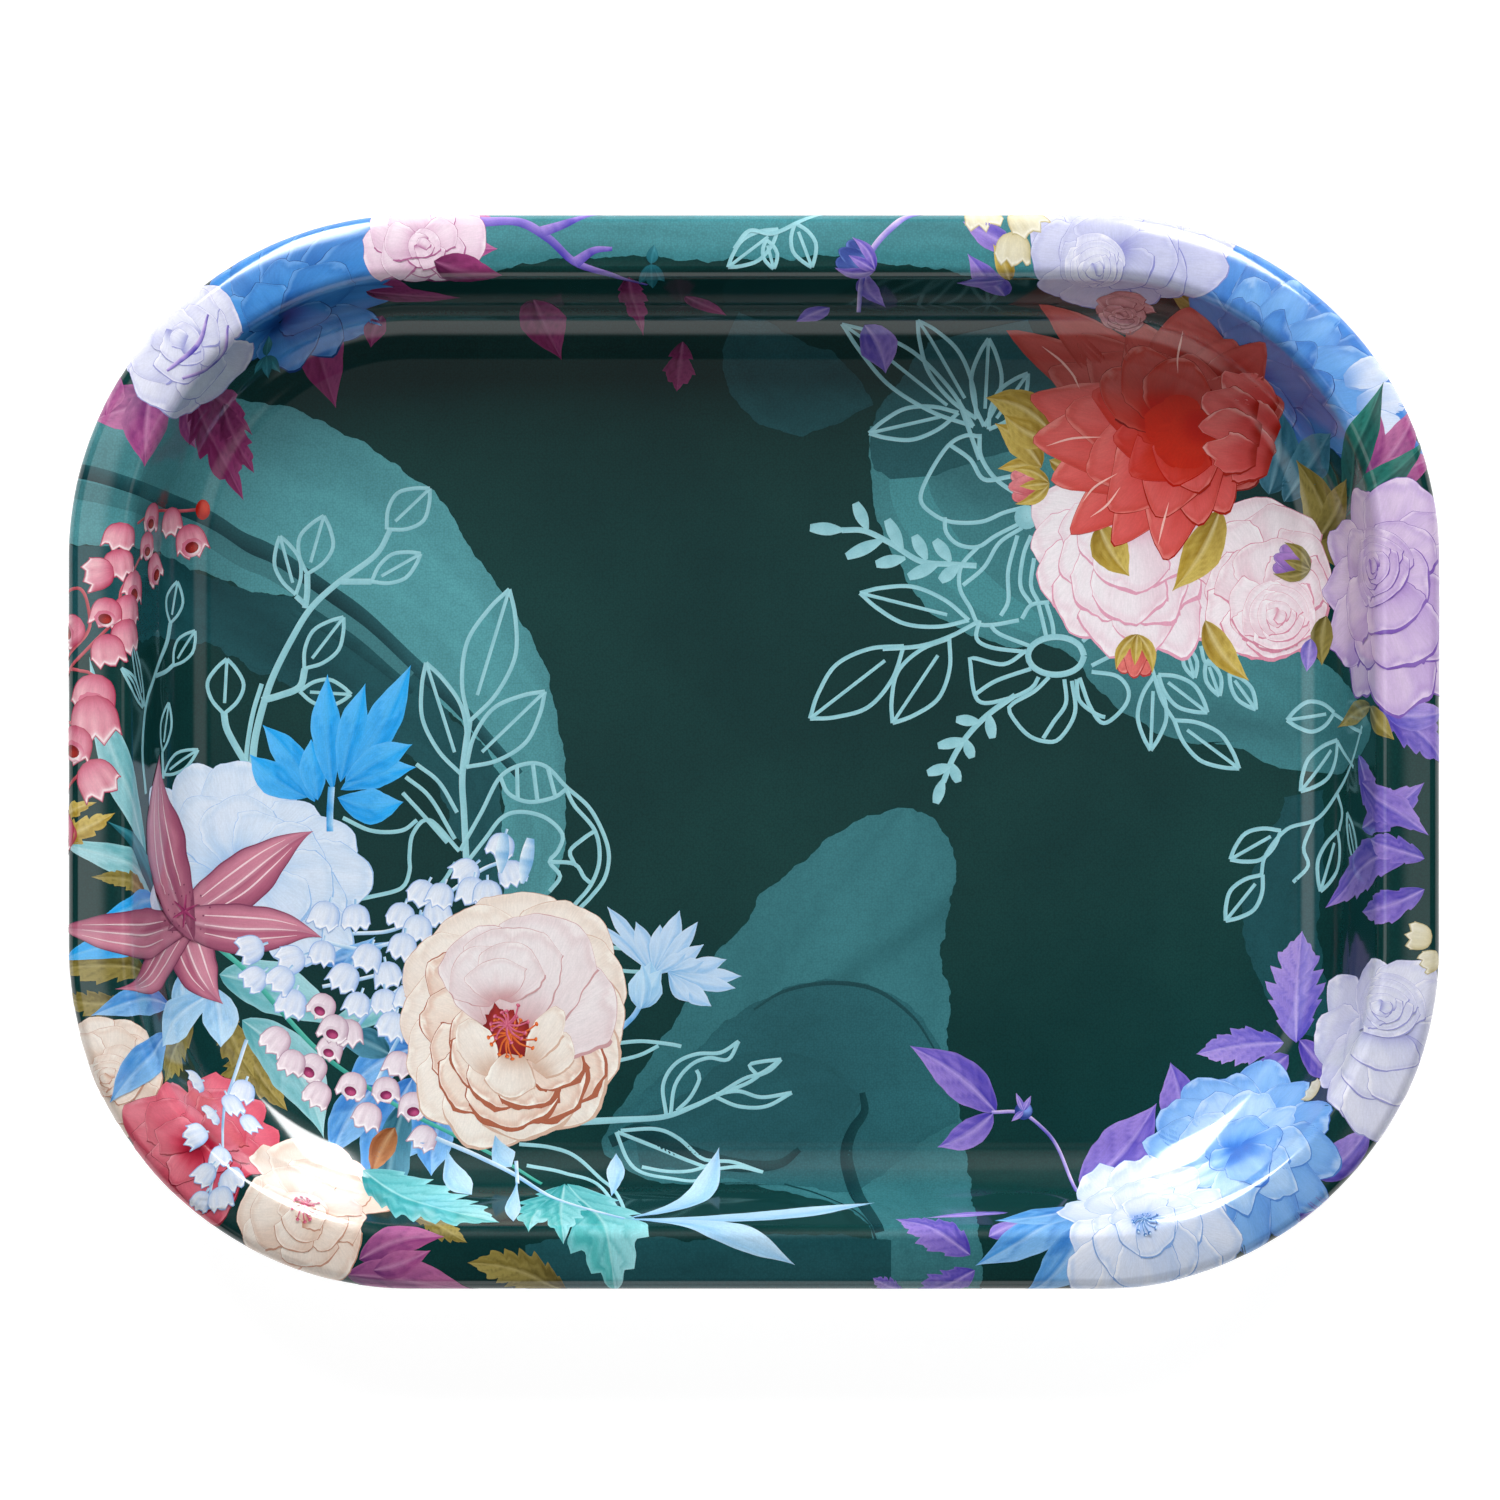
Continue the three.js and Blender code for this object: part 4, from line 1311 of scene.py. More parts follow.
def lines_right():
    """The outline drawings in the middle and on the right."""
    ink = Ink("lines_right_leaves", "print_line")
    line_leaves(ink, [
        (27, 44.8, 15.2, 42.1, 4.2), (28.4, 17.4, 14, 21, 5.0), (19.8, 14, 7.4, 4.4, 7.0),
        (25.8, 15, 18.3, 3.8, 6.4), (29, 43, 11.6, 56.5, 5.4), (29.4, 44, 21.6, 57, 4.8),
        (30.4, 43, 31, 54.6, 4.0), (31, 42.6, 36.2, 50, 3.6)
    ], line=0.54)
    lines(ink, [
        [(29.6, 17.2), (26, 15.3), (22, 14), (17, 13.6)], [(27, 46.5), (28.6, 42), (29.8, 38.6)],
        [(35.6, 33.5), (32, 36), (30, 39), (29.8, 42)], [(34, 36.4), (30.4, 36), (28.6, 38.6), (26, 40.5)]
    ], 0.58)
    ink.finish()
    ink = Ink("lines_right_flowers", "print_line")
    lines(ink, [
        [(30, 41.6), (28, 41.8), (25.6, 40.4), (23, 36.4), (22, 33.4), (23.4, 31.6), (26, 30.4),
         (30, 30.4), (33, 31.6), (36, 32.4)],
        [(25.2, 31), (25.4, 29), (27, 27.4), (29.6, 27.1), (32, 28.6), (36, 30.6)],
        [(29.6, 27.1), (27.4, 24.6), (27.2, 21.6), (28.6, 19), (29.6, 17), (31.6, 16.8), (35, 17.4)],
        [(27.6, 22), (30.4, 24.4), (32.4, 27.6), (35.4, 29.6)],
        [(32.6, 18), (33.6, 20), (33.6, 24), (34.8, 28.6)], [(35.4, 17.6), (36.6, 19.4), (39, 19.8)],
        [(36.6, 19.6), (35.2, 22), (35.6, 26), (36.6, 28.6)], [(37.6, 19.8), (36.6, 22), (37, 25.6)],
        [(29.8, 17.4), (29.4, 15), (31.4, 13.8), (36, 13.2)], [(31.2, 16.8), (32.4, 15.6), (36.4, 14)],
        [(37.6, 19.4), (38.2, 17), (38.6, 15.2)], [(38.6, 19.6), (39.4, 17), (39.6, 15.2)],
        [(36, 13.4), (33, 11.6), (29, 12.4), (28.6, 11.6), (29.6, 6.8), (33.4, 7), (36.6, 8.4),
         (37.6, 9.9)], [(29.2, 7.6), (32, 9.4), (36.6, 11)],
        [(39, 9.9), (37, 8), (34.2, 6.4), (33.8, 5.2), (36, 2.4), (38.4, 1.4), (40.4, 1.8), (42.4, 5.2),
         (42, 9.4)], [(38.2, 1.8), (39.6, 4), (41.2, 6.4), (41, 9.6)],
        [(43, 9.8), (44.4, 6), (46.2, 3.8), (48.8, 5.8), (49.5, 8), (48, 10), (44.6, 10.6)],
        [(42.6, 9.6), (43, 6.8), (45.2, 5), (46.4, 4.6)], [(44.6, 11.4), (47, 12.6), (48.4, 13.2)],
        [(43.4, 14.6), (44.6, 15.6)]
    ], 0.54)
    oval = [(39.9 + 3.7 * math.cos(a), 12.7 + 2.5 * math.sin(a)) for a in np.linspace(0, 2 * math.pi, 13)]
    line(ink, oval, 0.8)
    disc(ink, flat(36, 31), 1.6, LINE)
    ink.finish()
    ink = Ink("lines_sprigs", "print_line")
    line(ink, [(34.5, 7.5), (31, 5), (28.4, 2.4), (26.4, -0.6), (25, -4)], 0.75)
    seeds(ink, [
        (25, -3.6, 24, -6.8), (26.2, -1.6, 27, -4), (26, -1.8, 22.9, -2.8), (28, 1.6, 28.8, -0.8),
        (28, 1.6, 24.3, 0.8), (29.8, 4, 26.7, 4.3), (31, 5, 31.5, 1.8)
    ], LINE, 1.5)
    line(ink, [(29.4, 24.6), (26, 24.8), (22, 25.2), (18, 27.6), (14.6, 29.2), (11.6, 29.3)], 0.75)
    seeds(ink, [
        (11.8, 29.3, 7.4, 29.6), (15, 29.4, 13.4, 32.9), (17, 28, 12.2, 25.8), (19.6, 26.8, 17.6, 30.7),
        (20, 25.6, 16.1, 24.8), (22.8, 25.4, 21.2, 28.6), (24.4, 24.9, 20.4, 23.1), (26, 25.2, 23.9, 28),
        (27, 24.6, 24.6, 22.6)
    ], LINE, 1.7)
    ink.finish()
    ink = Ink("lines_right_low", "print_line")
    line_leaves(ink, [
        (52.8, 10, 52.4, 0.2, 3.8), (53.4, 10.2, 59.9, 5.2, 3.6), (55.5, 4.2, 64.1, -2.2, 4.4),
        (57, 14, 58.2, 9.8, 1.8), (59.8, 12.2, 61.5, 7.4, 2.0), (62.8, 10.4, 66.3, 5.6, 2.4),
        (76.6, 5.2, 70.4, 4.2, 4.0), (77, 1.6, 72.2, -5.2, 3.8), (69.6, -10.4, 62.9, -14.2, 4.0),
        (67.2, -16.2, 62.3, -22.3, 4.0), (77, -10.4, 74.8, -18.4, 3.4), (78.2, -8, 79.4, -15.4, 2.4)
    ], line=0.54)
    lines(ink, [
        [(52.6, 11), (53.8, 7), (55.6, 4)], [(59, 14), (60, 11.6), (64, 13)],
        [(80, 3.4), (79, -0.6), (77.2, -5), (74.4, -8.8), (70.4, -10.2), (67.6, -13.6), (67, -16.4)],
        [(80, 2.6), (78.6, 3.4), (76.6, 5)], [(79, -2), (78, -0.4), (77, 1.4)],
        [(74, -9), (72.6, -12.6), (73.2, -15), (71.2, -17.2)], [(77, -5.6), (77.6, -8), (77.2, -10.4)]
    ])
    ink.finish()
    ink = Ink("lines_top", "print_line")
    line_leaves(ink, [
        (3.2, 68.6, -3.4, 63.6, 3.4), (1.6, 67.2, 2.6, 63.4, 1.9), (5.4, 69.4, 7.6, 63.6, 3.2)
    ])
    lines(ink, [[(9.4, 70.6), (6, 69.6), (2.4, 68), (-0.6, 68.4), (-2.6, 66)]], 0.54)
    ink.finish()


# ---- The picture: left side ---------------------------------------------------------------------

def far_left():
    """The rose, leaves and petals at the left edge."""
    ink = Ink("leaves_far_left", "print_leaf")
    leaves(ink, PALE_TEAL, [
        (-80, -14, -87.2, 12.5, 4.6, -0.25), (-78, -19.5, -92, -11.5, 4.2, 0.15)
    ], ribs=2)
    leaves(ink, DEEP_TEAL, [(-78.5, -20, -85, -9, 3, 0.2)], ribs=2)
    leaves(ink, OLIVE, [
        (-80, -19, -87, -16.4, 3, 0.3), (-80, -29, -92, -28.6, 6, 0.2), (-82, -33, -91, -32, 4.4, -0.2),
        (-74, -36, -77.4, -43.4, 6, 0.2), (-68, -37, -61.6, -47.4, 5, 0.2), (-67, -39, -69, -46, 5, 0),
        (-70, -34, -66, -43, 5, 0.2)
    ], teeth=6)
    leaves(ink, GOLD, [(-92, -12, -83.8, -8, 3.6, 0.1), (-92, -10, -86.2, -6.6, 2.4, -0.3)], teeth=5)
    leaves(ink, AZURE, [
        (-79, -19.4, -86, -22, 3.6, 0.2), (-79, -24, -91.4, -27.6, 4.4, 0.2),
        (-66, -28, -61, -30.6, 3, 0.2)
    ], ribs=2)
    ink.finish()
    ink = Ink("rose_far_left")
    rose(ink, (-84.8, -42.6), [6, 7, 8, 8, 8, 8, 10, 8], CREAM_ROSE, 1.2, 2)
    ink.finish()
    ink = Ink("petals_far_left", "print_leaf")
    leaves(ink, BLUE_LEAF, [
        (-77, -33.4, -87, -34.6, 5.4, 0.3), (-77.4, -37, -84.4, -46, 5.4, 0.2)
    ], ribs=3, fat=0.5)
    leaves(ink, SOFT_BLUE, [
        (-75.4, -29, -74.6, -36.4, 4.4, 0.2), (-71, -31.6, -77.8, -38.8, 5.4, 0.2),
        (-71.4, -31, -70.4, -39, 5, -0.2)
    ], ribs=2, fat=0.5)
    ink.finish()


def pale_peony():
    """The big pale flower at the left, and the bright blue leaf."""
    ink = Ink("peony_pale_blue")
    wide = {"waist": 0.4, "droop": 0.3, "lobes": 1.6, "under": 0.3, "lip": 0.5, "crease": 0.5}
    sweep(ink, (-66, -16), [
        (-79.6, -5.6, 7, 0.3), (-75.6, -2.2, 9, 0.1), (-69.4, -1.2, 10, 0.1), (-62.8, -4.4, 9, 0.1),
        (-57.4, -8, 10, 0.1), (-52.6, -12, 10, 0.1), (-50.6, -17, 10, 0.1), (-54.4, -21.4, 9, 0.1),
        (-53.4, -26.4, 7, 0.2), (-58.6, -27.6, 8, 0.2), (-79, -14, 8, 0.2), (-79.4, -20, 8, 0.2)
    ], ICE, 0.4, **wide)
    sweep(ink, (-67, -16), [
        (-75, -6.6, 9, 0.1), (-69, -6, 10, 0.1), (-62.6, -9, 10, 0.1), (-57, -13, 10, 0.1),
        (-55.6, -18, 9, 0.1), (-60, -22.6, 9, 0.1)
    ], ICE, 1.6, **wide)
    ink.finish()
    ink = Ink("leaf_bright_blue", "print_leaf")
    leaves(ink, AZURE, [
        (-58, -6.6, -64.9, 3.6, 4.2, 0.2), (-59, -6, -66.6, -0.3, 4.2, -0.3),
        (-57.6, -6.4, -58.5, 1.7, 3.6, -0.1), (-55.6, -5, -56.3, 10.3, 3.9, -0.15),
        (-54, -4, -45.3, 11.5, 4.6, 0.1), (-54.6, -4, -51.3, 9.1, 3.6, -0.1),
        (-54.6, -5, -44.6, -2, 3.6, -0.25), (-54, -4, -45.1, 1, 3.8, -0.2),
        (-55, -6, -46.3, -6.6, 4.6, 0.4)
    ], ribs=2, rib=0.25, fat=0.5)
    plan_stroke(ink, [(-55.8, -4.6), (-56, -8), (-56, -10.5)], 0.9, AZURE)
    ink.finish()


def lily():
    """The mauve lily, star-shaped."""
    ink = Ink("lily_mauve")
    spots = [
        (-71.6, -33.8, 6.6, 0.2, -0.10), (-82, -32.8, 6.2, -0.25, 0.12), (-91.8, -20.8, 6.4, -0.4, -0.08),
        (-60, -8.2, 6.6, 0.3, 0.12), (-57, -21, 6.4, 0.4, 0.16), (-79.2, -1.2, 8.8, -0.2, 0.10)
    ]
    heart = flat(-75.3, -21)
    for k, (x, y, width, curl, hook) in enumerate(spots):
        root = heart - 0.2 * (flat(x, y) - heart)
        star_petal(ink, root, flat(x, y), width, LILY, curl, hook, k)
    for k in range(6):
        heading = 0.4 + k * 1.05
        way = direction(heading)
        stroke(ink, [heart, heart + way * 2.2], 0.5, PLUM, 1, 0.4, seed=k)
    for k in range(26):
        heading = k * GOLDEN
        way = direction(heading)
        disc(ink, heart + way * (1.4 + 0.11 * k), 0.13, [LILY[0], LILY[0]])
    ink.finish()


def pink_bells():
    """The sprays of pink bells."""
    ink = Ink("bells_pink")
    lines(ink, [
        [(-92, -4), (-90, 9.4), (-88, 10.6), (-86.4, 9.8)],
        [(-90, 10), (-87, 14), (-83.4, 18), (-82.6, 22), (-80, 27)],
        [(-91, 20.6), (-88.4, 21.4), (-87.2, 18), (-87.6, 15.4), (-90, 12)],
        [(-81, 30), (-79, 31.6), (-76, 31.8), (-73.4, 32)], [(-91, 4), (-88, 3.4), (-87, 1)],
        [(-91, -6), (-88.6, -3), (-87, -1.8)], [(-91, -14), (-89, -11), (-90, -8)]
    ], 0.42, RED_STEM)
    places = [
        (-79.3, 31, -95), (-77, 30.3, -80), (-74.5, 28, -75), (-83, 28.4, -100), (-79.9, 27.2, -85),
        (-83.2, 24.8, -80), (-79, 24.2, -60), (-86, 23.4, -170), (-81.3, 21.8, -100), (-82, 18.6, -85),
        (-85, 18.2, -100), (-82.2, 15.4, -80), (-89.6, 16, -150), (-84.8, 13.4, -80)
    ]
    bells(ink, places, 4.1, PINK_BELL, None, WINE, 1.0)
    bells(ink, [(-86.6, 7.4, -100), (-86.6, 4.6, -85)], 5.6, PINK_BELL, None, WINE, 2.0)
    bells(ink, [(-89.2, 1, -110), (-86.3, -3.4, -60), (-91, -10, -120)], 4.9, PINK_BELL, None, WINE, 3.0)
    disc(ink, flat(-72.8, 32), 1.35, BERRY, 0.75)
    ink.finish()


def crimson_flower():
    """The crimson flower, the cream rose and the bells over them."""
    ink = Ink("flower_crimson")
    bloom(ink, (-73, -51.5), [9.5, 9.5, 9, 10, 11, 11, 11.5, 9.5],
          [(9, 1.0, 0.75), (8, 0.8, 0.75), (6, 0.55, 0.8)], CRIMSON, 0.2, droop=0.45, sharp=1.6,
          spike=0.1, lobes=2, lip=0.35, shadow=0.3)
    ink.finish()
    ink = Ink("rose_cream")
    rose(ink, (-58.5, -60.5), [9, 9.5, 9, 9, 9, 9, 8.5, 9], CREAM_ROSE, 2.0, 1)
    stamens(ink, flat(-59, -59.6), 2.6, ROSY, 12)
    ink.finish()
    ink = Ink("bells_over_crimson")
    places = [
        (-73.5, -43.4, 200), (-67.5, -44.8, 250), (-71.5, -47.8, 220), (-69, -46.6, 290),
        (-66.6, -49.2, 300), (-73, -50.2, 200), (-70, -53, 270), (-72, -55.4, 230), (-68.6, -56, 290),
        (-72.6, -59, 240), (-70, -58.4, 280)
    ]
    line(ink, [(-67, -38), (-69, -44), (-70, -50), (-71, -56), (-71.4, -60)], 0.5, tone=SOFT_BLUE)
    bells(ink, places, 3.1, WHITE_BELL, SOFT_BLUE, None, 4.0)
    ink.finish()


def left_foliage():
    """The leaves round the flowers on the left."""
    ink = Ink("foliage_left", "print_leaf")
    leaves(ink, BLUE_LEAF, [
        (-44, -36, -51.6, -43, 5.4, -0.3), (-44.6, -39, -54, -45, 5.2, 0.3),
        (-45, -43, -50.8, -58, 6.4, 0.2), (-41, -44, -46.4, -54, 5.6, -0.1),
        (-50, -44, -56, -53.6, 5.4, 0.2), (-41, -47, -42.6, -56, 5, 0.2),
        (-57, -28, -50, -24.4, 2.4, 0.3), (-55, -30, -48, -25, 2.2, -0.3)
    ], ribs=3)
    leaves(ink, SLATE, [(-48, -40, -56, -37, 4, 0.2), (-46, -46, -48, -60, 5, 0.2)], ribs=2)
    leaves(ink, RUST, [(-47.4, -49.6, -50.4, -55.6, 3.4, 0.2)], ribs=2)
    leaves(ink, PALE_TEAL, [
        (-70.6, -29.4, -54.6, -36.4, 6.8, -0.3), (-67.6, -35.4, -56.8, -51, 7, -0.45),
        (-56, -36, -44.6, -31.2, 3.4, 0.2)
    ], ribs=3)
    plan_stroke(ink, [
        (-71, -25.6), (-67, -29), (-63, -33.6), (-57.6, -39.4), (-52, -43.6), (-46, -47.4), (-40, -50.4),
        (-33, -54), (-28, -57)
    ], 0.7, GREEN_STEM, 1, 0.6)
    leaves(ink, OLIVE, [(-24.6, -70.6, -37.6, -67, 6.4, 0.35), (-44.6, -61, -37.6, -64.4, 4, 0.2)], teeth=8)
    leaves(ink, MAGENTA, [
        (-51.8, -66.6, -40.6, -63.6, 4.6, -0.3), (-53.4, -68.6, -35.6, -71, 6, -0.15),
        (-50, -68, -42.4, -65.4, 3.6, 0.2), (-52, -70, -46, -72.4, 4, 0)
    ], ribs=4)
    ink.finish()


def white_bells():
    """The sprays of white and of blush bells."""
    ink = Ink("bells_white")
    lines(ink, [
        [(-53, -24), (-48, -23.6), (-44, -21.6), (-40, -18.4), (-36, -15.6), (-33, -14.4)],
        [(-57, -25), (-52, -26), (-47, -25), (-43, -23.6)], [(-57, -31), (-52, -30), (-48, -29)],
        [(-55, -40), (-51, -34.6), (-46.4, -31)], [(-50, -44), (-47, -38), (-43.4, -33)]
    ], 0.5, SOFT_BLUE)
    places = [
        (-56.6, -21.4, 250), (-52.6, -21.8, 270), (-46.6, -21.6, 250), (-43.8, -18.6, 240),
        (-41.8, -21.2, 280), (-38, -15.8, 220), (-37.2, -18.2, 260), (-33.4, -12.4, 250), (-32, -16, 290),
        (-61, -27.4, 200), (-57, -26.6, 260), (-54, -29.6, 240), (-48.4, -29.4, 280), (-66, -30, 220),
        (-61, -33, 250), (-48.8, -33, 270), (-47.8, -36, 250), (-35.2, -18.6, 270), (-41.4, -19, 250),
        (-44.4, -23.2, 260), (-66.4, -26, 200), (-62.4, -30, 230), (-51, -27, 250), (-46.4, -25.6, 260),
        (-52.4, -33.4, 250), (-44.4, -28.8, 270), (-45.6, -32.4, 260)
    ]
    bells(ink, places, 3.4, WHITE_BELL, SOFT_BLUE, None, 5.0)
    seeds(ink, [(-30.6, -17.4, -29.5, -11.4), (-33.5, -16, -33, -10.8)], SOFT_BLUE, 1.8)
    ink.finish()
    ink = Ink("bells_blush")
    places = [
        (-57, -33.6, 240), (-63, -38, 230), (-56, -39.2, 250), (-53.6, -37, 270), (-58.2, -41.6, 230),
        (-47, -41.2, 250), (-53, -44, 250), (-57.6, -45.2, 240), (-48.6, -44.6, 270), (-51, -48, 250),
        (-45, -46.6, 270), (-43.6, -51, 240), (-55.4, -36.4, 250), (-61, -41, 250)
    ]
    bells(ink, places, 3.4, BLUSH_BELL, None, PLUM, 6.0)
    ink.finish()


def cornflowers():
    """The small blue flowers."""
    ink = Ink("cornflowers")
    plan_stroke(ink, [(-18.4, -37.2), (-16, -35), (-14.8, -33)], 0.7, CORNFLOWER[:2])
    tips = [
        (-19.4, -20.4, 2.0), (-15.6, -22.4, 2.2), (-12.4, -22.8, 2.4), (-9.8, -20.9, 2.6),
        (-7.4, -22.4, 2.2), (-6.6, -25.4, 2.0), (-20.8, -22.6, 1.4), (-9, -26.6, 2.2)
    ]
    leaves(ink, CORNFLOWER, [(-13.4, -29.4, x, y, wide, 0.1) for x, y, wide in tips], ribs=1, fat=0.6)
    tips = [
        (-1.6, -29.6, 2.2), (-3.6, -27.4, 2.2), (-2.4, -31.2, 2.2), (-5.6, -33.6, 2.4), (-8.6, -33, 2.2),
        (-6.6, -27.6, 2.0)
    ]
    leaves(ink, CORNFLOWER, [(-11.4, -29, x, y, wide, 0.1) for x, y, wide in tips], ribs=1, fat=0.6)
    leaves(ink, SOFT_BLUE, [
        (-15.2, -34, -13.6, -27.6, 4.6, 0.1), (-15.2, -34, -12, -28.6, 3, -0.2),
        (-15, -34, -14.8, -27.8, 2.2, 0.2)
    ], ribs=1)
    ink.finish()


def cream_peony():
    """The big cream flower."""
    ink = Ink("peony_cream")
    heart = (-32.2, -37.4)
    sweep(ink, heart, [
        (-30.6, -18.4, 17, 0.1), (-38.6, -20.8, 13, 0.2), (-22.2, -20.6, 14, 0.2),
        (-44.6, -25.6, 11, 0.3), (-18.4, -26.6, 13, 0.2), (-46.2, -33.4, 12, 0.2),
        (-17.4, -33.8, 13, 0.2), (-45.6, -41.4, 11, 0.25), (-18.2, -41.4, 13, 0.2),
        (-43.2, -47.8, 11, 0.2), (-21.2, -47.6, 12, 0.2), (-36.6, -52, 12, 0.2), (-28.6, -50.6, 13, 0.15)
    ], CREAM, 0.4, droop=0.3, shadow=0.45, lobes=1.6)
    sweep(ink, heart, [
        (-42.4, -27.4, 8, 0.2), (-43.8, -34.4, 9, 0.2), (-20.4, -43.6, 10, 0.3), (-42.4, -41.4, 9, 0.2),
        (-24.2, -47.2, 11, 0.2), (-39.6, -46.6, 10, 0.2), (-31.6, -49.4, 12, 0.15)
    ], CREAM_HEART, 1.1, droop=0.35, shadow=0.7, lip=0.9)
    sweep(ink, heart, [
        (-40.2, -37.6, 8, 0.1), (-38.6, -43.2, 9, 0.1), (-34.4, -46.6, 9, 0.1), (-28, -46.4, 9, 0.1),
        (-23.2, -42.6, 8, 0.15)
    ], CREAM_HEART, 2.0, shadow=0.7, lip=1.0)
    sweep(ink, heart, [
        (-19.8, -29.4, 15, -0.05), (-25.4, -21.8, 14, -0.05), (-37.4, -23.6, 12, 0.1),
        (-31.4, -23, 13, 0.05)
    ], BLUSH_CREAM, 0.7, droop=0.25, shadow=0.4, under=0.25, lobes=1.4)
    sweep(ink, (-33.6, -32.6), [
        (-38.4, -26.6, 9, 0), (-31, -25.4, 9, 0), (-34.4, -27.4, 8, 0)
    ], BLUSH_CREAM, 2.7, shadow=0.3, lobes=1.4)
    disc(ink, flat(-33, -38), 4.3, WINE, 0.8, 0.5, 1.0, 0.3)
    for root, tip, wide in (((-34.6, -42.4), (-38.4, -35.6), 5), ((-31.6, -40), (-32.6, -45.6), 6.4),
                            ((-28.4, -42.4), (-24.6, -37.4), 5.4), ((-29.6, -40.8), (-25.6, -33.8), 4)):
        sweep(ink, root, [(*tip, wide, 0)], CREAM, wide, under=0.3, lip=0.9, shadow=0.3)
    stamens(ink, flat(-32.2, -37.2), 3.8, EMBER, 16)
    stamens(ink, flat(-32.6, -36), 3.0, ROSY, 12, 0.7)
    ink.finish()


def bottom_leaves():
    """The leaves along the bottom."""
    ink = Ink("leaves_bottom", "print_leaf")
    leaves(ink, TEAL, [(-51.6, -55.2, -33.4, -61.8, 13, 0.15)], teeth=8, ribs=7)
    leaves(ink, TEAL, [
        (-24.6, -57.2, -29.6, -63, 7, 0.3), (-24.6, -57, -18.2, -71, 12, -0.25),
        (-25, -57, -25, -64.6, 7, 0.1)
    ], teeth=5)
    leaves(ink, SOFT_BLUE, [
        (-17, -61.4, 16, -59.4, 3.4, 0.24), (-17, -61.4, 5.4, -67.3, 3.6, -0.26),
        (-17, -61.4, -4.6, -52.2, 3.6, 0.55), (-18.8, -58.6, -18.2, -53, 2.3, 0.1),
        (-31.2, -56.4, -31.6, -61.7, 2.1, 0.1), (-34.2, -50.6, -32, -54.8, 3.2, 0.3),
        (-40.6, -52.4, -37.2, -58.4, 3.6, 0.3)
    ], ribs=1, rib=0.2, fat=0.62)
    plan_stroke(ink, [(-42, -51), (-36, -53.6), (-30.6, -56.4), (-24, -59.6), (-17, -61.4)], 0.6, SOFT_BLUE)
    plan_stroke(ink, [(-31.4, -54), (-31.2, -57)], 0.5, SOFT_BLUE)
    ink.finish()


# ---- The picture: top edge ----------------------------------------------------------------------

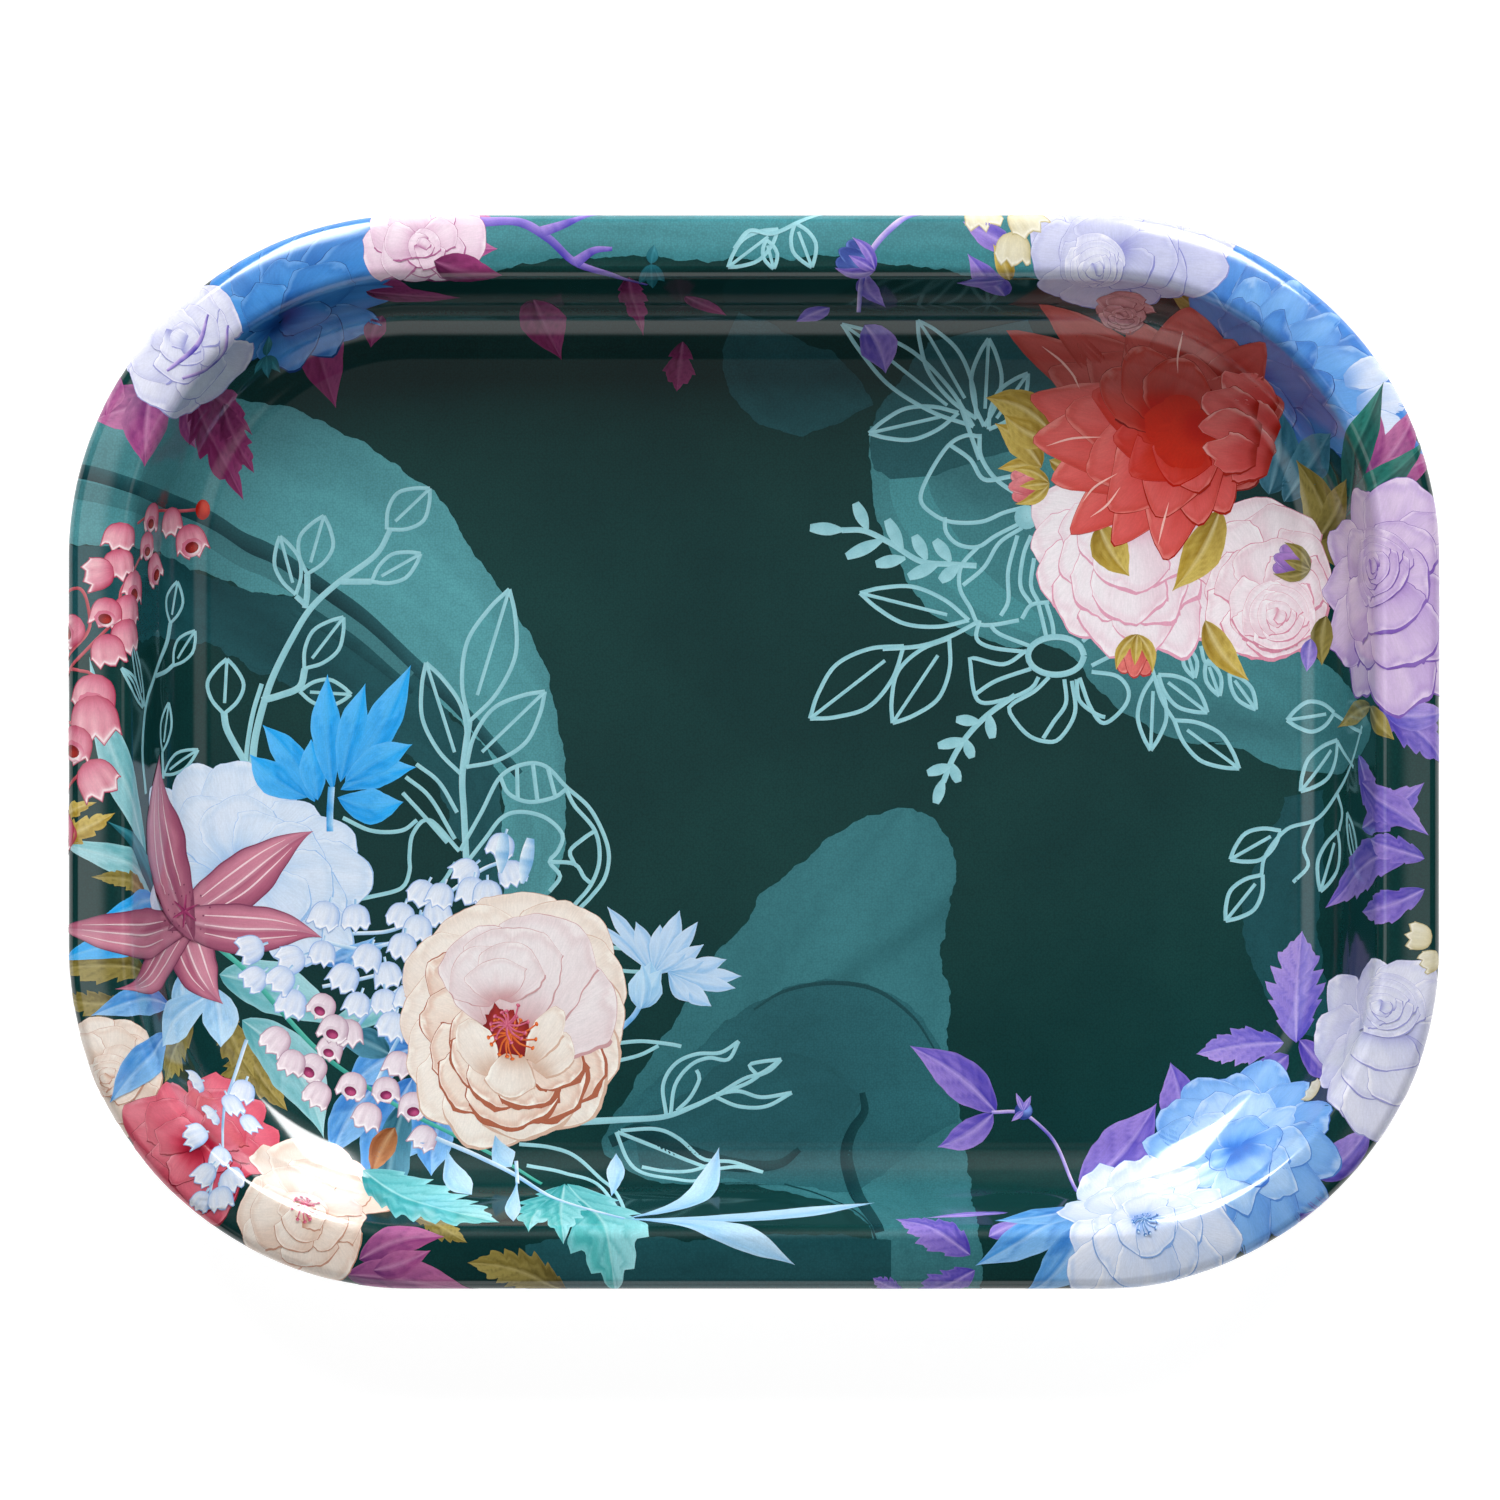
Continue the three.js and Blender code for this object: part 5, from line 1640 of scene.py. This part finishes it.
def top_left():
    """The flowers, leaves and buds at the top left."""
    ink = Ink("leaves_top_left", "print_leaf")
    leaves(ink, MAGENTA, [
        (-78, 47, -86.4, 43.4, 7, -0.2), (-79, 48, -80, 37.4, 6.6, 0.1), (-74.4, 47, -73.6, 40, 4.2, 0.2),
        (-84, 50, -85, 44, 5, 0)
    ])
    leaves(ink, DARK_MAGENTA, [
        (-74, 47, -67.4, 33.2, 7.2, -0.2), (-73.4, 47.4, -66.2, 41.8, 4.6, -0.3),
        (-70, 46, -66, 36.8, 4.2, 0.1)
    ], teeth=5)
    leaves(ink, DARK_MAGENTA, [
        (-57.4, 58, -55.2, 45.4, 7.2, 0.1), (-29, 59.6, -25.4, 51.8, 6, 0.2), (-51, 64, -43, 60, 5, 0.3),
        (-46, 64, -37.6, 62, 4.6, -0.2)
    ])
    leaves(ink, DARK_MAGENTA, [
        (-16.4, 62.4, -14.6, 55, 4.2, 0.1), (-9.4, 54.2, -10.2, 47.6, 4.4, 0)
    ], teeth=4)
    leaves(ink, MAGENTA, [(-45, 68, -33.6, 66, 5.4, 0.2), (-42, 71, -34, 69.8, 4, -0.2)])
    leaves(ink, DARK_MAGENTA, [(-9, 60, -3.6, 57.6, 3, 0.2)])
    for points in ([(-36, 69.6), (-31, 69.6), (-27, 67.4), (-23.4, 64.2), (-18, 62.4), (-14, 61.4)],
                   [(-28, 68.2), (-24.6, 69.4), (-20, 70.8)], [(-23.4, 64.2), (-21, 65.8), (-18.6, 66)]):
        plan_stroke(ink, points, 1.5, PURPLE[:3], 1, 0.35)
    ink.finish()
    ink = Ink("flower_top_left_blue")
    sweep(ink, (-62, 57), [
        (-71, 62, 10, 0.1), (-66, 66.6, 11, 0.1), (-59, 70, 11, 0.1), (-52, 70.6, 11, 0.1),
        (-47.4, 71.6, 10, 0.1), (-46.6, 67, 10, 0.1), (-47, 60.6, 10, 0.1), (-50, 56, 9, 0.1),
        (-71.6, 55.6, 9, 0.1), (-55, 53, 9, 0.1), (-66.6, 51.6, 9, 0.1), (-60.4, 50.8, 10, 0.1),
        (-60, 64.6, 10, 0), (-66.4, 60.4, 9, 0), (-53, 63, 10, 0), (-56, 57.6, 9, 0)
    ], tones("1d4a90", "2b6cba", "4f94da", "8fbcf0", "173a78"), 0.5,
          droop=0.45, spike=0.09, lobes=2, lip=0.4)
    ink.finish()
    ink = Ink("rose_top_pink")
    rose(ink, (-43.5, 66.4), [
        8, 8, 6, 7, 8, 5.4, 3.8, 5.4
    ], tones("c99cba", "e0c2d4", "eedde8", "f8eef5", "a8608c"), 0.8, 1)
    ink.finish()
    ink = Ink("rose_top_left_white")
    rose(ink, (-75, 54), [8, 8, 9, 8, 8, 9, 9, 8], WHITE_LILAC, 2.4, 1)
    for points in ([(-77, 50), (-73, 53.4), (-71.6, 57.4)], [(-75, 49), (-70.4, 51.6), (-69, 56)]):
        plan_stroke(ink, points, 0.9, PURPLE, 0.4, 0.3, 0.4)
    ink.finish()
    ink = Ink("buds_top", "print_leaf")
    leaves(ink, DARK_MAGENTA, [
        (-51, 60.6, -38.6, 59.8, 5, 0.2), (-49, 57.6, -50.6, 53.4, 3, 0.2),
        (-42, 64.4, -33, 62.6, 4.4, 0.2)
    ])
    for x, y in ((-13.5, 63), (-64.3, 51.3)):
        for tip in ((-1.6, -2.4), (1.8, -2.2), (0.2, -3), (0.4, 2.6)):
            leaf(ink, flat(x, y + 1), flat(x + tip[0], y + 1 + tip[1]), 1.6, DEEP_TEAL)
    leaves(ink, PURPLE, [
        (14.6, 63, 17.4, 58.6, 3, 0.3), (14.6, 56.4, 17.4, 50, 5, -0.3), (10, 58.6, 5.6, 56.8, 3, 0)
    ])
    plan_stroke(ink, [(13.8, 58), (14.2, 62), (15.6, 66), (19, 69.6), (22, 70.8)], 0.9, LAVENDER, 0.6, 1)
    bud(ink, (13.4, 64.6), 150, 4.6, NIGHT_BUD, PURPLE)
    ink.finish()


# ---- The picture: top right ---------------------------------------------------------------------

def corner_flowers():
    """The blue and white flowers at the top right, and the leaves round them."""
    ink = Ink("leaves_top_right", "print_leaf")
    leaves(ink, PURPLE, [
        (33, 60, 28, 65.4, 4.4, 0.2), (33, 62, 26.6, 61.6, 3.6, -0.2), (34, 66, 27.4, 69.6, 3.4, 0)
    ])
    leaves(ink, OLIVE, [(60, 56, 54.4, 61.4, 5, 0.2), (58, 57, 61, 62, 4, 0)])
    leaves(ink, GOLD, [(33.6, 62, 31.4, 66.6, 2.4, 0.2)])
    ink.finish()
    ink = Ink("peony_corner_blue")
    feathered = {"waist": 0.3, "droop": 0.45, "spike": 0.08, "lobes": 2.2, "lip": 0.45, "veins": 3}
    sweep(ink, (66, 48.6), [
        (64, 66.6, 10, 0.4), (69.4, 67, 10, 0.4), (75, 64, 10, 0.4), (80.6, 59, 10, 0.4),
        (86, 53, 10, 0.4), (89, 45, 10, 0.4), (88, 38, 10, 0.4)
    ], CORNER_BLUE, 0.2, **feathered)
    sweep(ink, (66, 48.6), [
        (66, 62.4, 9, 0.3), (71.6, 61.4, 9, 0.3), (76.6, 57, 9, 0.3), (80.6, 52, 9, 0.3),
        (82.8, 46, 9, 0.3), (81.6, 40.6, 9, 0.3)
    ], CORNER_SKY, 0.9, **feathered)
    sweep(ink, (66, 48.6), [
        (84, 50.6, 5, 0.7), (86.4, 46.4, 5, 0.7), (85.4, 42.6, 5, 0.7)
    ], WHITE_BLUE, 0.2, **feathered)
    sweep(ink, (66, 48.6), [
        (58.6, 60.6, 9, 0.2), (64.4, 59.6, 9, 0.2), (69.6, 57.4, 9, 0.2), (73.6, 53.4, 9, 0.2),
        (76.2, 48.4, 9, 0.2), (76.6, 42.6, 9, 0.2), (74, 38.4, 9, 0.2), (61, 54.4, 9, 0.1)
    ], CORNER_BLUE, 1.9, **feathered)
    sweep(ink, (65, 48), [
        (65.6, 56.4, 9, 0), (70.4, 53.8, 9, 0), (73, 48.6, 9, 0), (71.4, 43.4, 8, 0)
    ], CORNER_BLUE, 2.6, **feathered)
    ink.finish()
    ink = Ink("rose_top_right_white")
    # The outer petals on the rim are in the painted-shade copy of WHITE_LILAC.
    sweep(ink, (47, 64.6), [
        (37, 70.6, 10, 0.2), (63.6, 68.4, 10, 0.2), (45, 74, 11, 0.2), (55, 73, 11, 0.2),
        (62, 63.4, 9, 0.2), (36.4, 65, 10, 0.1), (56.4, 60.6, 10, 0.1), (38.4, 60.4, 9, 0.1),
        (50.6, 58.8, 10, 0.1), (44.2, 58.6, 10, 0.1)
    ], RIM_SHADED_LILAC, 1.7, droop=0.3, lobes=1.6)
    sweep(ink, (47, 65), [
        (40.6, 67.6, 9, 0.1), (55.6, 68.4, 10, 0.1), (46.6, 70.4, 10, 0.1), (55.4, 64, 9, 0.1),
        (40.4, 62.6, 8, 0.1), (51, 61.4, 9, 0.1)
    ], RIM_SHADED_LILAC, 2.9, droop=0.3, lobes=1.6)
    swirl(ink, (45, 63.4), 4.2, WHITE_LILAC, 1.2, 3)
    bells(ink, [(30, 70.4, -80), (34, 66, -95), (35.6, 70, -60)], 4.4, PEARL_BELL)
    ink.finish()
    ink = Ink("leaves_behind_roses", "print_leaf")
    leaves(ink, MAGENTA, [
        (80, 34, 87, 46, 5.6, 0.2), (80, 33, 90, 39, 5.4, -0.2), (80, 36, 82, 45, 4, 0.1)
    ])
    leaves(ink, FOREST, [
        (78, 30, 82.6, 48.6, 6.4, 0.15), (77.4, 30, 73.6, 42, 5.4, -0.2), (78, 30, 85.4, 36, 5, 0.2),
        (78, 31, 88, 41, 5, 0.25)
    ])
    leaves(ink, SLATE, [
        (68, 34, 69, 46, 6.4, 0.2), (70, 33, 76, 42, 5.6, -0.2), (66, 36, 62, 45, 5, 0)
    ], ribs=3)
    leaves(ink, OLIVE, [(76.6, 24.6, 71.6, 38.6, 6.4, 0.3), (74.4, 28, 78, 36, 4.6, 0)])
    ink.finish()


def red_peony():
    """The big red flower at the top right, its gold leaves and the rosebud above it."""
    ink = Ink("leaves_gold", "print_leaf")
    leaves(ink, GOLD, [
        (39, 42.6, 30.6, 46.8, 5, 0.4), (38, 37.6, 31.8, 43.4, 4, 0.3), (39, 41, 33, 44.6, 4, -0.3)
    ])
    ink.finish()
    ink = Ink("peony_red")
    heart = (57, 41.6)
    pointed = {"waist": 0.25, "droop": 0.6, "sharp": 1.5, "lobes": 1.2, "spike": 0.07, "lip": 0.35,
               "veins": 2, "glow": 0.25}
    # The two outer rings use the copy of CORAL with the back wall's painted shade in it.
    sweep(ink, heart, [
        (33.4, 55.6, 8, 0.15), (37, 59.2, 8, 0.1), (42.6, 55.6, 10, 0.1), (50.4, 57, 11, 0.1),
        (57.4, 58.4, 14, 0.05), (63.4, 54.4, 9, 0.1), (67.2, 53.8, 8, 0.1), (69.6, 46.4, 12, 0.1),
        (69, 40, 10, 0.1), (66.6, 35.4, 9, 0.1)
    ], WALL_SHADED_CORAL, 0.3, **pointed)
    sweep(ink, heart, [
        (38.6, 50.8, 10, 0.1), (44, 52.8, 11, 0.1), (49.8, 54, 11, 0.1), (64.8, 49.4, 9, 0.15),
        (57.6, 52.6, 13, 0.1)
    ], WALL_SHADED_CORAL, 1.2, **pointed)
    sweep(ink, heart, [
        (35.8, 47, 10, 0.1), (41.4, 28.8, 9, 0.1), (47.6, 27.8, 10, 0.05), (65.4, 36, 8, 0.15),
        (62.6, 31.6, 9, 0.1), (54.4, 25.6, 10, 0.05), (59, 30.4, 9, 0.1), (39, 35.4, 11, 0.05),
        (36.4, 41.2, 12, 0.05)
    ], CORAL, 2.0, **pointed)
    sweep(ink, heart, [
        (40.4, 45, 10, 0.05), (43.4, 37.4, 12, 0.05), (46.6, 32, 11, 0.05), (53.4, 31, 10, 0.05),
        (58.8, 34.2, 8, 0.1)
    ], CORAL, 3.1, **pointed)
    sweep(ink, heart, [
        (44.4, 47.4, 9, 0), (47, 41.4, 9, 0), (49.6, 36.6, 9, 0), (55.4, 35.2, 8, 0), (50, 49.4, 9, 0)
    ], HOT[:2] + CORAL[1:3] + HOT[:1], 4.2, **pointed)
    round_petal = {"waist": 0.5, "droop": 0.4, "lobes": 1.2, "veins": 2, "lip": 0.6}
    # These petals near the back wall also carry its painted shade.
    sweep(ink, (55, 44), [
        (46.2, 49.6, 8, 0), (50, 53.2, 8, 0), (56.4, 52, 9, 0)
    ], HOT[:1] + WALL_SHADED_CORAL[1:], 0.9, glow=0.2, **round_petal)
    sweep(ink, (57.4, 41.4), [
        (52, 45, 6, 0), (55, 47, 6, 0), (53, 40, 6, 0), (56, 37.6, 6, 0)
    ], [HOT[0], HOT[1], HOT[1], HOT[1], HOT[0]], 1.9, waist=0.5, lip=0, shadow=0, under=0.1)
    cups = {"waist": 0.45, "droop": 0.5, "sharp": 1.6, "spike": 0.22, "under": 0.2, "crease": 0.3,
            "glow": 0.1, "lip": 0.7, "shadow": 0.4}
    disc(ink, flat(58, 42.2), 3.2, HOT[1::-1])
    for seed, root, tip in [
        (1.3, (69.6, 44.4), (61.6, 49.6, 8.4, 0.1)), (1.9, (69.4, 41.2), (61.2, 45.2, 8.0, 0.05)),
        (2.5, (68.4, 38.6), (61.2, 40.8, 8.0, 0)), (3.1, (67, 44.8), (58.8, 46.6, 5.4, 0.05)),
        (3.7, (67, 42), (58.6, 43.4, 5.4, 0)), (4.3, (66.4, 39.2), (59.4, 39.8, 5.4, 0))
    ]:
        sweep(ink, root, [tip], CORAL[1:2] + CORAL[1:], seed, **cups)
    for points in ([(38.6, 40.4), (42, 41.4), (46, 41.6)], [(43.4, 33), (45, 35), (48, 36.8)],
                   [(53.4, 27.4), (54, 30), (54.8, 33)], [(38, 53.6), (40.6, 51.6), (42.6, 49.4)],
                   [(56.6, 55.6), (56, 52.4), (56, 50)], [(40.6, 51.4), (42, 50), (43, 48)],
                   [(44.4, 31), (46.6, 32.6), (48.4, 35)]):
        plan_stroke(ink, points, 0.12, CORAL[3:4], 0.2, 0.1, 2.2)
    ink.finish()
    ink = Ink("rosebud_top")
    rose(ink, (48.5, 58), [
        3, 3, 2.4, 3, 3, 2.6, 2.4, 3
    ], tones("8e4a4e", "c07a80", "dca0a4", "efc4c4"), 0.4, 1)
    ink.finish()


def roses_right():
    """The blush flower, the roses beside it and their leaves."""
    ink = Ink("peony_blush")
    draped = {"droop": 0.3, "lobes": 1.7, "ruffle": 0.04, "shadow": 0.45, "under": 0.48, "crease": 0.5,
              "waist": 0.4, "veins": 2}
    sweep(ink, (50, 30), [
        (36.8, 31.4, 9, 0.2), (61.6, 26.6, 10, 0.2), (37, 25.8, 9, 0.15), (61, 20.4, 9, 0.2),
        (38.4, 20.4, 9, 0.15), (59.8, 15.2, 9, 0.15), (42.2, 16, 10, 0.1), (56.6, 13, 9, 0.1),
        (47.4, 13, 10, 0.1), (52.2, 13.4, 9, 0.1)
    ], BLUSH, 0.5, **draped)
    sweep(ink, (50, 30), [
        (40.6, 28, 9, 0.1), (57.8, 25.4, 10, 0.1), (41.6, 22.4, 9, 0.1), (57.2, 19.6, 9, 0.1),
        (45, 18, 10, 0.05), (54, 17, 9, 0.05), (49.4, 17.2, 10, 0.05)
    ], BLUSH, 1.4, **draped)
    sweep(ink, (50, 31), [(44.6, 24.8, 9, 0), (55, 23, 9, 0), (49.4, 21.4, 10, 0)], BLUSH, 2.2, **draped)
    ink.finish()
    ink = Ink("rose_blush")
    warm = tones("deb0bf", "ecdbe1", "f3eaee", "faf6f7", "d6889f")
    sweep(ink, (68.4, 21), [
        (64.4, 33.4, 11, 0.1), (70.4, 32.4, 11, 0.1), (60, 28.6, 10, 0.15), (74.8, 27.4, 10, 0.1),
        (59.8, 22, 9, 0.15), (75.8, 20.8, 10, 0.1), (60.6, 16, 9, 0.15), (74, 14.8, 9, 0.1),
        (64.8, 12.8, 9, 0.1), (69.8, 12.6, 9, 0.1)
    ], warm, 0.2, **draped)
    sweep(ink, (68.8, 19), [
        (63, 25.8, 9, 0.1), (68, 28, 10, 0.1), (73, 24.4, 9, 0.1), (62.8, 19, 8, 0.1), (73.6, 18, 8, 0.1),
        (66, 14.4, 8, 0.1), (70.8, 14.2, 8, 0.1)
    ], warm, 1.5, **draped)
    swirl(ink, (69.2, 18), 4.6, warm, 0.5, 3)
    ink.finish()
    ink = Ink("rose_lilac")
    sweep(ink, (82, 22), [
        (79.4, 34.6, 10, 0.1), (86, 35.6, 12, 0.05), (76.2, 28.6, 9, 0.1), (92, 30, 11, 0.1),
        (75.4, 21, 9, 0.1), (94, 22, 11, 0.1), (79.4, 7.6, 10, 0.1), (93, 8, 10, 0.1),
        (85.6, 5.4, 11, 0.1), (76.4, 13.4, 10, 0.1), (93, 15, 11, 0.1)
    ], LILAC, 1.1, **draped)
    sweep(ink, (82, 22), [
        (78.4, 28, 8, 0.1), (87, 29.6, 10, 0.1), (88.6, 22.4, 9, 0.1), (80, 11.6, 9, 0.1),
        (86.8, 11.8, 11, 0.1), (78.4, 17, 9, 0.1), (84.4, 16.4, 10, 0.05)
    ], LILAC, 2.3, **draped)
    swirl(ink, (81.4, 24.4), 5.4, LILAC, 1.1, 3)
    ink.finish()
    ink = Ink("leaves_among_roses", "print_leaf")
    leaves(ink, GOLD, [
        (45.6, 30, 49.6, 23.2, 5, 0.2), (61.6, 32, 55.2, 21.2, 5, -0.25),
        (59.6, 17.4, 65.4, 9.4, 3.6, 0.3), (39, 38.6, 44.4, 36, 2.6, 0.1),
        (38, 37.6, 32.2, 37.4, 2.2, 0.2)
    ])
    leaves(ink, OLIVE, [(75.6, 18, 75, 11.4, 3.4, 0.2), (81, 6, 77, 3.2, 3, 0.2), (81, 6, 84, 1.6, 3, 0)])
    leaves(ink, PURPLE, [(73.6, 15, 73, 10.6, 2.4, 0)])
    bud(ink, (36.2, 35.2), 185, 4.6, tones("a83c46", "d0606a", "e58f94", "f4bcbc"), GOLD)
    bud(ink, (50.4, 12.6), -95, 4.8, tones("b03a3c", "d25c58", "e88880", "f6b8ac"), GOLD)
    bud(ink, (71, 25), 160, 4.4, tones("4b3a8c", "8a5ab0", "b58ad0", "dcc0ea"), OLIVE)
    ink.finish()


# ---- The picture: bottom right ------------------------------------------------------------------

def right_purples():
    """The purple leaves and the toothed ones on the right."""
    ink = Ink("leaves_right_purple", "print_leaf")
    leaves(ink, PURPLE, [
        (82, 6, 90, -1.6, 6, -0.3), (80, -10, 88, -4, 5.4, 0.3), (79.6, -0.4, 84, -9.6, 5.6, 0.2),
        (80, -4, 88.6, -11, 4.4, -0.2), (87, -13, 75.4, -20.6, 7, 0.3), (88, -14, 81, -11.4, 4, 0),
        (88, -18, 80, -21, 4.6, -0.3)
    ], ribs=4, teeth=5, bite=0.22)
    leaves(ink, LAVENDER, [(83, 5, 90.6, 5.4, 4, 0.2)], ribs=3)
    ink.finish()
    ink = Ink("leaves_serrated", "print_leaf")
    leaves(ink, LAVENDER, [(71.6, -38.4, 72.4, -23.6, 8.6, -0.1)], teeth=7)
    leaves(ink, LAVENDER, [(70, -38.4, 58.4, -39.9, 5.6, 0.1)], teeth=6)
    leaves(ink, PURPLE, [
        (72, -38, 76.4, -42.6, 4, 0.2), (70.6, -40, 66, -45, 4, 0.2), (56.4, -50.4, 55, -41, 5.4, 0.2),
        (43, -57.4, 53.2, -46.4, 7.4, 0.2), (32, -47.6, 20.6, -38.8, 5.4, 0.2),
        (31.6, -47.8, 24.2, -52.2, 3.8, -0.3)
    ], ribs=5)
    plan_stroke(ink, [
        (31.4, -47.6), (35, -47.6), (37.6, -49.2), (40.2, -52.4), (42.6, -58)
    ], 0.45, LAVENDER)
    disc(ink, flat(35.6, -47.4), 1.2, NIGHT_BUD)
    for tip in ((34.6, -45), (36.6, -45.4), (34, -48.8)):
        plan_leaf(ink, (35.6, -47.4), tip, 0.8, LAVENDER)
    leaves(ink, PURPLE, [
        (28.4, -66, 18.6, -61.4, 6.4, 0.1), (29, -68, 21, -71.6, 5.4, 0), (19.6, -70.6, 15.6, -69, 3, 0)
    ], teeth=6)
    leaves(ink, LAVENDER, [(30.8, -63.6, 36.6, -61.6, 3, 0), (33.4, -60.6, 22.4, -61.3, 1.5, 0.1)])
    leaves(ink, BLUE_LEAF, [
        (44, -60.4, 29, -67.4, 6, -0.2), (43, -60, 31.6, -61.6, 5.4, -0.3),
        (44, -62, 35.4, -71, 5.6, -0.3)
    ], ribs=3)
    leaves(ink, PURPLE, [(74, -56, 81, -49, 5, 0.2), (70, -60, 78, -60, 5, 0.2)])
    ink.finish()


def blue_peonies():
    """The blue and the white flowers at the lower right."""
    ink = Ink("peony_low_blue")
    feathered = {"waist": 0.3, "droop": 0.45, "spike": 0.08, "lobes": 2.0, "lip": 0.5, "veins": 3}
    sweep(ink, (64, -52.6), [
        (68.4, -40.8, 10, 0.2), (73, -43.6, 9, 0.2), (62.6, -42.6, 9, 0.1), (76, -48, 10, 0.1),
        (57.6, -43.6, 10, 0.1), (77, -54.4, 10, 0.1), (53.6, -47.6, 9, 0.1), (74.6, -59.6, 9, 0.1),
        (51.6, -52, 9, 0.1), (70.6, -63.4, 9, 0.1), (54.6, -57, 9, 0.1), (65.6, -66, 9, 0.1),
        (60, -63.6, 9, 0.1)
    ], SKY_BLUE, 0.5, **feathered)
    sweep(ink, (64, -52.6), [
        (60, -45.4, 9, 0.1), (66.4, -44.8, 9, 0.1), (71.4, -47.4, 9, 0.1), (56.4, -50.4, 9, 0.1),
        (73, -53, 9, 0.1), (58.6, -57.4, 8, 0.1), (70.6, -58, 9, 0.1), (64.4, -60.4, 9, 0.1)
    ], PALE_SKY, 1.3, **feathered)
    sweep(ink, (64, -52.6), [
        (60.4, -49.4, 7, 0), (65, -48.2, 8, 0), (69.2, -51.6, 8, 0), (60.8, -55.2, 7, 0),
        (67, -56.6, 8, 0)
    ], SKY_BLUE, 2.6, **feathered)
    ink.finish()
    ink = Ink("peony_low_white")
    soft = {"waist": 0.45, "droop": 0.3, "lobes": 1.7, "ruffle": 0.04, "under": 0.3, "lip": 0.7, "veins": 2}
    sweep(ink, (51.4, -61.6), [
        (44.8, -55, 9, 0.15), (50.6, -53.6, 10, 0.1), (56.4, -54.6, 10, 0.1), (40.4, -60, 9, 0.1),
        (61.6, -58.4, 10, 0.15), (42, -66, 10, 0.1), (63.8, -65, 10, 0.1), (43, -72, 11, 0.1),
        (60.4, -71.4, 11, 0.1), (48.6, -76, 12, 0.1), (55, -76, 12, 0.1)
    ], WHITE_BLUE, 1.4, **soft)
    sweep(ink, (51.4, -61.6), [
        (45.4, -58, 9, 0.1), (51, -56.4, 9, 0.1), (56.8, -58.4, 9, 0.1), (44.6, -63.6, 9, 0.1),
        (58.6, -63.8, 9, 0.1), (47, -68.6, 10, 0.1), (56.4, -68.8, 10, 0.1), (51.6, -70.4, 10, 0.1)
    ], WHITE_BLUE, 2.3, **soft)
    sweep(ink, (51.4, -61.6), [
        (47.4, -60.6, 7, 0), (51.6, -58.4, 7, 0), (55.4, -61, 7, 0), (49, -65, 7, 0), (53.8, -65.2, 7, 0)
    ], WHITE_BLUE, 3.4, **soft)
    stamens(ink, flat(51.2, -61.6), 2.4, BLUE_LEAF, 14)
    ink.finish()
    ink = Ink("rose_right_white")
    sweep(ink, (82.6, -38), [
        (76, -30.8, 9, 0.1), (81, -27.4, 10, 0.1), (87.6, -27.4, 10, 0.1), (92.6, -32, 10, 0.1),
        (73.8, -37, 9, 0.1), (94, -39.6, 11, 0.1), (74.6, -42.8, 9, 0.1), (93, -47, 11, 0.1),
        (77, -47.4, 10, 0.1), (87.6, -52.4, 11, 0.15), (81.6, -51, 10, 0.15)
    ], WHITE_LILAC, 0.7, **soft)
    sweep(ink, (82.8, -36.6), [
        (77.6, -39.6, 9, 0.1), (90, -41, 10, 0.1), (79.6, -44.8, 10, 0.1), (86.4, -46, 11, 0.1),
        (82.6, -41.6, 10, 0)
    ], WHITE_LILAC, 1.9, **soft)
    swirl(ink, (82.6, -33.4), 5.0, WHITE_LILAC, 0.7, 3)
    bells(ink, [(87.4, -24.3, 170), (88.9, -27.4, 200), (73.6, -44.6, 150)], 3.2, PEARL_BELL)
    ink.finish()


def draw_picture():
    """From the ground up: pools, drawings in line, leaves, and the flowers over them."""
    washes_left()
    wash_bottom()
    washes_right()
    lines_left()
    lines_bottom()
    lines_right()
    top_left()
    corner_flowers()
    right_purples()
    blue_peonies()
    roses_right()
    red_peony()
    far_left()
    pale_peony()
    left_foliage()
    crimson_flower()
    lily()
    pink_bells()
    white_bells()
    cornflowers()
    cream_peony()
    bottom_leaves()


draw_picture()
